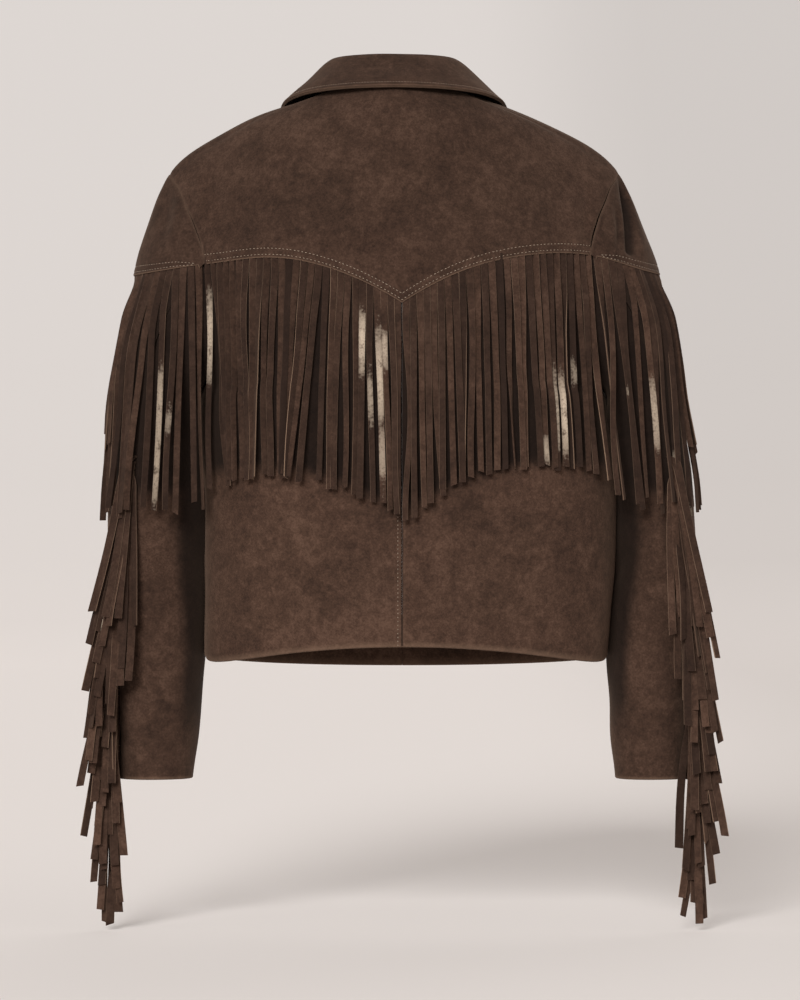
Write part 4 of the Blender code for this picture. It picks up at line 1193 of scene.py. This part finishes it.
def hung(start, pulls, clear, steps):
    """A strip's path from its first points: down as it is pulled, and kept clear of the panels."""
    path = [Vector(point) for point in start]
    for pull, room, step in zip(pulls, clear, steps):
        place = path[-1] + Vector(pull).normalized() * step
        near, normal, _, far = skin.find_nearest(place)
        height = (place - near).dot(normal)
        if height < room and far < 0.03:
            place += normal * (room - height)
        path.append(path[-1] + (place - path[-1]).normalized() * step)
    return np.array([point[:] for point in path])


def ribbons(name, strips):
    """All the strips of a fringe as one mesh, with their finish in its attributes."""
    corners, quads, ends, cut, shine, tone = [], [], [], [], [], []
    sides, start = len(SECTION), 0
    for strip in strips:
        path, rings = strip.path, len(strip.path)
        along = unit(np.gradient(path, axis=0))
        across = unit(np.cross(along, strip.flat))
        face = np.cross(across, along)
        turn = np.radians(strip.twist)[:, None]
        across, face = (across * np.cos(turn) + face * np.sin(turn),
                        face * np.cos(turn) - across * np.sin(turn))
        a, b = SECTION[:, 0], SECTION[:, 1]
        wide = a * strip.wide[:, None]
        through = b * STRIP + strip.cup[:, None] * (1 - 4 * a * a)
        lag = np.zeros((rings, sides))
        lag[-1] = a * strip.slant
        grid = path[:, None]
        for way, sizes in ((across, wide), (face, through), (along, lag)):
            grid = grid + way[:, None] * sizes[..., None]
        corners.append(grid.reshape(-1, 3))
        number = start + np.arange(rings * sides).reshape(rings, sides)
        after = np.roll(number, -1, 1)
        quads.append(np.stack((number[:-1], after[:-1], after[1:], number[1:]), -1).reshape(-1, 4))
        ends += [tuple(number[0, ::-1].tolist()), tuple(number[-1].tolist())]
        cut.append(np.isin(np.arange(len(quads[-1])) % sides, CUT_SIDES) * strip.pale)
        shine.append((strip.shine[:, None] * (1 - 0.2 * np.abs(a))).ravel())
        tone.append(np.full(rings * sides, strip.tone))
        start += rings * sides
    mesh = bpy.data.meshes.new(name)
    mesh.from_pydata(np.concatenate(corners).tolist(), [], np.concatenate(quads).tolist() + ends)
    cut.append(np.repeat([strip.pale for strip in strips], 2))
    mark(mesh, "FACE", cut=np.concatenate(cut))
    mark(mesh, shine=np.concatenate(shine), tone=np.concatenate(tone))
    piece = placed(name, mesh)
    bpy.ops.object.select_all(action="DESELECT")
    piece.select_set(True)
    bpy.context.view_layer.objects.active = piece
    bpy.ops.object.shade_smooth_by_angle(angle=math.radians(40))
    return piece


def strip_suede(name, seed, tone=1.0):
    """Suede for fringe: each strip in its own tone, knife-cut edges paler, metallic with a painted highlight where it
    gleams.
    """
    material = suede(name, seed, tone, patches=9.0)
    nodes, links = material.node_tree.nodes, material.node_tree.links
    shader = nodes["Principled BSDF"]
    plain = shader.inputs["Base Color"].links[0].from_socket
    toned = mixed(nodes, links, attribute(nodes, "tone"), plain, UNDER_NAP)
    edge = summed(nodes, links, (attribute(nodes, "cut"), CUT_PALE))
    edged = mixed(nodes, links, edge, toned, RUBBED)
    gleam_noises = []
    for scale, detail, drawn_out in GLEAM_NOISES:
        stretch = nodes.new("ShaderNodeMapping")
        stretch.inputs["Scale"].default_value = (1, 1, drawn_out)
        links.new(nodes["Texture Coordinate"].outputs["Object"], stretch.inputs["Vector"])
        gleam_noises.append(noise(nodes, links, stretch.outputs["Vector"], scale, detail))
    limit = nodes.new("ShaderNodeClamp")
    kept = summed(nodes, links, *zip((attribute(nodes, "shine"), *gleam_noises), FOIL_AND_GLEAM_KEPT))
    links.new(kept, limit.inputs["Value"])
    foil_and_gleam_mask = limit.outputs["Result"]
    lively = summed(nodes, links, *zip((*gleam_noises, foil_and_gleam_mask), GLEAM_PAINT_LIVELY))
    bright = mixed(nodes, links, lively, GLEAM_PAINT_DULL, GLEAM_PAINT_BRIGHT)
    # Painted highlight: the gleam's colour is mixed into the base colour where the strip is metallic.
    links.new(mixed(nodes, links, foil_and_gleam_mask, edged, bright), shader.inputs["Base Color"])
    for socket, times, plus in (("Metallic", 0.6, 0), ("Roughness", -0.55, 0.95)):
        step = nodes.new("ShaderNodeMath")
        step.operation, step.use_clamp = "MULTIPLY_ADD", True
        links.new(foil_and_gleam_mask, step.inputs[0])
        step.inputs[1].default_value, step.inputs[2].default_value = times, plus
        links.new(step.outputs["Value"], shader.inputs[socket])
    return material


def gleaming(strips, gleams):
    """The strips with each painted gleam put on the one that passes nearest to its middle."""
    strips = list(strips)
    for gleam in gleams:
        middle = np.array((gleam.x, (gleam.high + gleam.low) / 2)) * MM
        misses = [np.linalg.norm(strip.path[:, [0, 2]] - middle, axis=1).min() for strip in strips]
        number = int(np.argmin(misses))
        z = strips[number].path[:, 2] / MM
        fade = min(GLEAM_FADE, (gleam.high - gleam.low) * GLEAM_FADE_SHARE)
        ends = (gleam.high + fade / 2 - z) / fade, (z - gleam.low + fade / 2) / fade
        shine = gleam.strong * smooth(ends[0]) * smooth(ends[1])
        strip = strips[number]
        strips[number] = strip._replace(
            shine=np.maximum(strip.shine, shine), twist=strip.twist * GLEAM_FLAT)
    return strips


def strip_along(path, flat, draw, twist_end, twist_root=4.0, curled=0.12, wide=STRIP_WIDE):
    """A strip on a path, with its own small differences; it narrows a little on its way down."""
    share = np.linspace(0, 1, len(path))
    twist = draw.normal(0, twist_root) + draw.normal(0, twist_end) * share ** 1.5
    if draw.random() < curled:
        curl = draw.choice((-1, 1)) * draw.uniform(*CURL)
        twist += curl * smooth((share - draw.uniform(0, 0.5)) * 3)
    wide = wide * (1.01 - draw.uniform(*NARROWED) * smooth(share * 2.2))
    wide = wide * (1 + 0.03 * np.sin(share * 9 + draw.uniform(0, 6)))
    cup = draw.normal(*CUPPED) * MM * np.sin(share * draw.uniform(2, 5) + draw.uniform(0, 6))
    middle, spread, most = STRIP_TONE
    tone = float(np.clip(draw.normal(middle, spread), 0, most))
    pale = draw.uniform(0, 1) ** 2
    return Strip(path, np.array(flat, float), wide, twist, cup, 0 * share, tone, pale,
                 draw.normal(0, SLANTED) * MM)


def rooted(points, away):
    """Where strips hang along an edge: the length along it to each of its points and to each
    strip, and two points for a strip's head, under the yoke and then at its edge."""
    run, places = spaced(points, STRIP_PITCH)
    edge, out = on_line(points, run, places), unit(on_line(away, run, places))
    up = unit(np.array((0, 0, 1.0)) - out * out[:, 2:])
    return run, places, edge + up * SEAM_LAP * 0.85 + out * ROOT_OUT, edge + out * ROOT_OUT


# lean, wave: how much strips lean and wave apart, as shares of their length.  Then how far they
# lie out in millimetres.  layer: each second one.  loose: any of them.  swung: their ends.
# crossing: those that move aside further than CROSSING, over the others.
Hang = namedtuple("Hang", "lean wave layer loose swung crossing")
LIES_OUT, CROSSING = 1.5, 12            # in millimetres; the first is for all of them


def hung_strip(head, number, long, shift, hang, draw, calm=1.0):
    """A strip's path from its head, with its end moved aside; calm takes away from its lean."""
    down = np.linspace(0, 1, STRIP_RINGS)
    lean = shift * MM / long + draw.normal(0, hang.lean) * calm
    wave = draw.normal(0, hang.wave) * calm
    lean = lean + wave * np.sin(down * draw.uniform(3, 8) + draw.uniform(0, 6))
    pulls = np.stack((lean, 0.02 * draw.normal() * down, -np.ones(STRIP_RINGS)), 1)
    over = LIES_OUT + hang.layer * (number % 2) + draw.uniform(0, hang.loose) + hang.swung * down
    over = over + hang.crossing * (abs(shift) > CROSSING)
    clear = (ROOT_OUT / MM + (over - ROOT_OUT / MM) * smooth(down * 4)) * MM
    return hung(head, pulls, clear, np.full(STRIP_RINGS, long / STRIP_RINGS))


def strips_cut(strips, length, drop):
    """Flat size and area of a band of strips, measured along them."""
    area = sum(strip.wide.mean() * lengths_along(strip.path[:, None], 0).max() for strip in strips)
    return flat_cut(length, drop, area)


BACK_GLEAMS = (
    Gleam(39.5, -198, -286, 1.0), Gleam(25, -218, -335, 1.0), Gleam(28, -255, -335, 0.85),
    Gleam(21, -308, -398, 0.82), Gleam(15.5, -224, -274, 0.95), Gleam(194, -180, -288, 1.0),
    Gleam(-143.7, -328, -365, 0.9), Gleam(-152, -258, -362, 0.92), Gleam(-160, -262, -362, 1.05),
    Gleam(-167, -245, -296, 0.7),
)
# A strip's root from the middle, and how far out its end has moved: they part, lean and cross.
BACK_SHIFTS = {
    1: ((0, 4, 12, 20, 34, 37, 50, 65, 72, 77, 88, 99, 118, 123, 128, 148, 185, 188, 191),
        (0, -1.5, -3.4, -4.3, -5, 1.7, 3, 5.3, 5.6, 18.5, 18.5, 13.6, 1.7, 0.5, 3.4, 0, -11.7, -4,
         0)),
    -1: ((0, 11, 18, 40, 47, 61, 69, 76, 83, 98, 105, 120, 127, 141, 148, 163, 170, 178, 184),
         (0, 0.5, 3.3, 2.5, 6.6, 1.5, 0.3, 3.9, 5.3, 3, 6, 6, 11, 8, 6, 4, 10, 15, 26)),
}
# Lengths from the middle out to the armhole, at shares of the way, in millimetres.
BACK_LENGTHS = {
    1: ((0, 0.5, 0.85, 1), (211, 212, 215, 221)),
    -1: ((0, 0.12, 0.2, 0.35, 0.55, 0.85, 0.94, 1), (214, 213, 203, 204, 208, 211, 217, 230)),
}
BACK_HANG = Hang(lean=0.011, wave=0.030, layer=1.8, loose=0.9, swung=3.8, crossing=2.4)
BACK_ROOTS_FROM = 0.004                 # of the way from the middle to the armhole

for word, side in SIDES:
    draw = np.random.default_rng(70 + side)
    u = np.linspace(BACK_ROOTS_FROM, 1 - SEAM_HALF, 300)
    edge = settled(body(YOKE_ROW, u), side)
    run, places, heads, roots = rooted(edge, body_out(YOKE_ROW, u) * (side, 1, 1))
    strips = []
    for number, head in enumerate(zip(heads, roots)):
        share = (number + 0.5) / len(places)
        long = np.interp(share, *BACK_LENGTHS[side]) * MM + draw.normal(0, 1.8) * MM
        shift = side * np.interp(abs(head[1][0]) / MM, *BACK_SHIFTS[side])
        path = hung_strip(head, number, long, shift, BACK_HANG, draw)
        strips.append(strip_along(path, (0, 1, 0), draw, twist_end=15, twist_root=8))
    gleams = [gleam for gleam in BACK_GLEAMS if gleam.x * side > 0]
    piece = ribbons(f"fringe_back_{word}", gleaming(strips, gleams))
    piece.data.materials.append(strip_suede(f"back fringe suede, {word}", 15 + side, tone=0.86))
    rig.ride(piece, "root")
    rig.replaces(piece, f"back_fringe_{word}")
    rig.slot(piece, "suede_fringe")
    # The band is as deep as its last strip, at the armhole, where it is longest.
    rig.sheet(piece, **strips_cut(strips, run[-1], long + SEAM_LAP), held="hung",
             rests_on=["suede_yoke", f"suede_back_{word}"])


# ==== The fringe on the sleeve caps =============================================================
# The same band of strips behind each cap yoke's lower edge, all round it from notch to notch.
# Some of the strips over the outside of the arm are cut shorter.

CAP_GLEAMS = {
    1: (Gleam(241, -250, -412, 1.0), Gleam(233, -286, -340, 0.75)),
    -1: (Gleam(-222, -276, -300, 0.75), Gleam(-246, -266, -355, 1.0),
         Gleam(-246, -350, -406, 0.95), Gleam(-251.5, -266, -330, 0.95),
         Gleam(-239, -315, -342, 0.8), Gleam(-271, -340, -369, 0.8),
         Gleam(-284, -396, -432, 0.8)),
}
CAP_LENGTH, CAP_SHORT = 238 * MM, 176 * MM
# A strip's root from the middle of the jacket, and how far out its end has moved.
CAP_SHIFTS = {
    1: ((193, 202, 209, 216, 220, 234, 242, 247, 252, 262), (-7, -8, 0, 5, 15, 13, 15, 16, 13, 8)),
    -1: ((186, 191, 199, 208, 222, 238, 244, 248, 256), (30, 27, 20, 18, 16, 12, 13, 13, 8)),
}
CAP_HANG = Hang(lean=0.018, wave=0.036, layer=2.0, loose=1.4, swung=3.2, crossing=0)
OUTSIDE_TURN = 0.3                      # the outside of the arm reaches this share to each notch
OUTSIDE_CALM = 0.35                     # how much of their lean the strips there keep
TO_BACK = 1.2                           # how far they turn their faces to the back

for word, side in SIDES:
    draw = np.random.default_rng(80 + side)
    angle = np.linspace(float(angle_of_row(CAP_FIRST)), float(angle_of_row(CAP_LAST)), 300)
    s = np.maximum(cap_edge(angle), CAP_END)
    edge = settled(sleeve(s, angle), side)
    run, places, heads, roots = rooted(edge, sleeve_out(s, angle) * (side, 1, 1))
    strips = []
    for number, head in enumerate(zip(heads, roots)):
        turn = np.interp(places[number], run, angle) / SEAM_START
        outside = abs(turn) < OUTSIDE_TURN
        long = CAP_SHORT if outside and number % 2 else CAP_LENGTH
        long += draw.normal(0, 5) * MM
        shift = side * np.interp(abs(head[1][0]) / MM, *CAP_SHIFTS[side])
        calm = OUTSIDE_CALM if outside else 1.0
        path = hung_strip(head, number, long, shift, CAP_HANG, draw, calm)
        heading = math.radians(90 * turn)
        flat = np.tile((side * math.cos(heading), math.sin(heading), 0.0), (len(path), 1))
        flat[:, 1] += TO_BACK * smooth(np.linspace(0, 3, len(path))) * (turn > -OUTSIDE_TURN)
        strips.append(strip_along(path, flat, draw, twist_end=26, twist_root=9, curled=0.28))
    piece = ribbons(f"fringe_cap_{word}", gleaming(strips, CAP_GLEAMS[side]))
    piece.data.materials.append(strip_suede(f"cap fringe suede, {word}", 18 + side, tone=0.86))
    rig.ride(piece, "root")
    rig.replaces(piece, f"cap_fringe_{word}")
    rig.slot(piece, "suede_fringe")
    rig.sheet(piece, **strips_cut(strips, run[-1], CAP_LENGTH + SEAM_LAP), held="hung",
             rests_on=[f"suede_cap_yoke_{word}", f"suede_top_sleeve_{word}"])


# ==== The fringe in the sleeve seams ============================================================
# Two bands, one over the other, caught in each sleeve's back seam from under the cap fringe to the
# cuff: cut into strips that leave the seam outwards, drop at once and lie shingled.

SEAM_PITCH, SEAM_WIDE, SEAM_LENGTH, SEAM_RINGS = 5.7 * MM, 9.4 * MM, 155 * MM, 26
SEAM_TOP, SEAM_LAST = -352 * MM, -675 * MM
SEAM_GLEAMS = {
    1: (Gleam(294.5, -482, -526, 1.2), Gleam(298, -534, -590, 1.15), Gleam(302.5, -582, -632, 1.15),
        Gleam(306, -624, -676, 1.2), Gleam(279, -464, -524, 1.0)),
    -1: (Gleam(-289, -458, -494, 1.2), Gleam(-289, -490, -530, 1.25), Gleam(-294, -560, -594, 1.15),
         Gleam(-291.5, -610, -650, 1.05)),
}
# A root's height, how far out the furthest end from there leans, and how far in the nearest.
SEAM_LEANS = {
    1: ((-669, -646, -620, -590, -549, -493, -400, -268),
        (0.03, 0.08, 0.12, 0.155, 0.185, 0.20, 0.23, 0.23)),
    -1: ((-667, -645, -624, -602, -550, -449, -378, -268),
         (0.04, 0.08, 0.11, 0.145, 0.18, 0.21, 0.22, 0.22)),
}
SEAM_INWARD = (-700, -600, -520), (-0.11, -0.09, 0.0)
FANNED = (1.0, 0.3, 0.7, 0.05, 0.5, 0.85, 0.15, 0.6)    # neighbours' shares of that lean
SEAM_WAVE, SEAM_DROPPED = 0.045, 0.2    # how much they wave, and by where on their way they hang
THROWN = 6.0                            # a strip that leans out leaves the seam that way
# Roots above this lie under the cap fringe, so their strips lie flat and narrow at the head.
CAP_COVERS, COVER_SOFT, LAID_FLAT = -460 * MM, 40 * MM, 0.85
HEAD_SHARES = (0.2, 0.25, 0.35, 0.55, 0.8)

for word, side in SIDES:
    draw = np.random.default_rng(90 + side)
    heights = np.arange(SEAM_TOP, SEAM_LAST, -SEAM_PITCH)
    fine = np.linspace(0.3, CUFF, 1200)
    seam_heights = sleeve(fine, wound(fine, SEAM_START, top_last))[:, 2]
    strips = []
    for number, z in enumerate(heights):
        place = np.interp(-z, -seam_heights, fine)
        turn = float(wound(place, SEAM_START, top_last))
        root, way = sleeve(place, turn), sleeve_out(place, turn)
        far, near = np.interp(z / MM, *SEAM_LEANS[side]), np.interp(z / MM, *SEAM_INWARD)
        lean = near + (far - near) * (FANNED[number % len(FANNED)] + draw.normal(0, 0.06))
        down = np.linspace(0, 1, SEAM_RINGS)
        dropped = smooth(down / SEAM_DROPPED)
        wave = draw.normal(0, SEAM_WAVE) * np.sin(down * draw.uniform(3, 7) + draw.uniform(0, 6))
        hang = np.stack((lean + wave, draw.normal(0, 0.03) + 0.6 * wave, -np.ones(SEAM_RINGS)), 1)
        covered = smooth((z - CAP_COVERS) / COVER_SOFT)
        thrown = way * (1 - LAID_FLAT * covered)
        thrown = thrown + (THROWN * max(lean, 0), 0, -0.25 - 0.5 * covered)
        pulls = thrown * (1 - dropped)[:, None] + hang * dropped[:, None]
        start = settled(np.stack((root - way * 1 * MM, root + way * 1.5 * MM)), side)
        steps = np.diff(np.linspace(0, 1, SEAM_RINGS + 1) ** 1.4)
        steps = SEAM_LENGTH * draw.uniform(0.95, 1.05) * steps
        room = np.full(SEAM_RINGS, draw.uniform(1.2, 3.4 - 1.8 * covered) * MM)
        path = hung(start, pulls * (side, 1, 1), room, steps)
        strip = strip_along(
            path, (0.25 * side, 1, 0), draw, twist_end=16, twist_root=12, curled=0.16, wide=SEAM_WIDE)
        strip.wide[:len(HEAD_SHARES)] *= 1 + covered * (np.array(HEAD_SHARES) - 1)
        strips.append(strip)
    piece = ribbons(f"fringe_sleeve_{word}", gleaming(strips, SEAM_GLEAMS[side]))
    piece.data.materials.append(strip_suede(f"sleeve fringe suede, {word}", 22 + side))
    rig.ride(piece, "root")
    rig.replaces(piece, f"sleeve_fringe_{word}")
    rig.slot(piece, "suede_fringe")
    cut = strips_cut(strips, len(strips) * SEAM_WIDE, SEAM_LENGTH + 2 * MM)
    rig.sheet(piece, **cut, held="hung", rests_on=[f"suede_top_sleeve_{word}"])


# ==== The studio ================================================================================
# A pale floor that curves up into walls far away on all sides, in an even pale room.  A soft light
# falls on the back from its left, and a wider, fainter one comes from the front.

FLOOR, FLOOR_SIZE, FLOOR_SQUARES = -0.8275, 60, 100
BOWL_FLAT, BOWL_RISE, BOWL_POWER = 8.5, 0.13, 1.8
PAPER, MATT_SHARE = (0.735, 0.690, 0.662), 0.95
ROOM_LIGHT, FLOOR_LOSS = 0.62, 0.22     # the room's light on a wall, and what the floor gets less
PAINTED_FALLOFF, PAINTED_FALLOFF_FROM, PAINTED_FALLOFF_OVER = 0.12, 0.2, 0.7       # painted shade: how much the paper's glow is lowered towards the right, from where and over what
# Distant soft lights: the way each comes from, how wide it looks in degrees, how strong.
LIGHTS = (
    ("key light", (0.95, 4.75, 1.75), 19, 3.4),
    ("front light", (-1.5, -4.2, 2.6), 50, 0.8),
)
bpy.ops.object.select_all(action="DESELECT")
bpy.ops.mesh.primitive_grid_add(
    x_subdivisions=FLOOR_SQUARES, y_subdivisions=FLOOR_SQUARES, size=FLOOR_SIZE)
floor = bpy.context.object
floor.name = floor.data.name = "studio_floor"
spots = np.array([vertex.co[:] for vertex in floor.data.vertices])
spots[:, :2] *= (np.abs(spots[:, :2]) / (FLOOR_SIZE / 2)) ** 0.8     # finer squares in the middle
radius = np.maximum(np.hypot(spots[:, 0], spots[:, 1]), 1)
past = np.maximum(radius - BOWL_FLAT, 0)
spots[:, 2] = FLOOR + BOWL_RISE * past ** BOWL_POWER
floor.data.vertices.foreach_set("co", spots.ravel())
floor.data.shade_smooth()
floor.visible_shadow = False
# The paper gives back its own light and a share of the lamps', to the same tone everywhere but in
# a shadow and in the painted shade towards the right.
slope = BOWL_RISE * BOWL_POWER * past ** (BOWL_POWER - 1) / radius
squares = unit(np.stack((-slope * spots[:, 0], -slope * spots[:, 1], np.ones(len(spots))), 1))
lit = sum(strong / math.pi * np.maximum(squares @ unit(np.array(way)), 0)
          for _, way, _, strong in LIGHTS)
room = ROOM_LIGHT - FLOOR_LOSS * squares[:, 2] ** 8
share = MATT_SHARE * squares[:, 2] ** 6
painted_falloff = 1 - PAINTED_FALLOFF * smooth((-spots[:, 0] - PAINTED_FALLOFF_FROM) / PAINTED_FALLOFF_OVER)
mark(floor.data, share=share, glow=np.maximum(painted_falloff - share * (lit + room), 0))
paper, nodes, links, shader = new_finish("pale paper")
matt = mixed(nodes, links, attribute(nodes, "share"), (0.0, 0.0, 0.0), PAPER)
links.new(matt, shader.inputs["Base Color"])
shader.inputs["Roughness"].default_value = 1.0
shader.inputs["Specular IOR Level"].default_value = 0.0
shader.inputs["Emission Color"].default_value = (*PAPER, 1)
links.new(attribute(nodes, "glow"), shader.inputs["Emission Strength"])
floor.data.materials.append(paper)
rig.stage(floor)

world = bpy.data.worlds.new("pale room")
bpy.context.scene.world = world
world.use_nodes = True
world.node_tree.nodes["Background"].inputs["Color"].default_value = (0.98, 0.96, 0.94, 1)
world.node_tree.nodes["Background"].inputs["Strength"].default_value = 0.20

for name, way, wide, strong in LIGHTS:
    lamp = bpy.data.lights.new(name, "SUN")
    lamp.angle, lamp.energy = math.radians(wide), strong
    light = placed(name, lamp)
    light.location = way
    light.rotation_euler = Vector(way).to_track_quat("Z", "Y").to_euler()

lens = bpy.data.cameras.new("camera")
lens.lens, lens.sensor_width = 180, 36
camera = placed("camera", lens)
camera.location = (0.002, 5.0, -0.395)
camera.rotation_euler = (math.radians(90), 0, math.radians(180))
bpy.context.scene.camera = camera
bpy.context.scene.view_settings.view_transform = "Standard"

low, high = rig.bounds()
with open("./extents.json", "w") as file:
    json.dump({"cad": [list(cad_low), list(cad_high)], "visual": [list(low), list(high)]}, file)
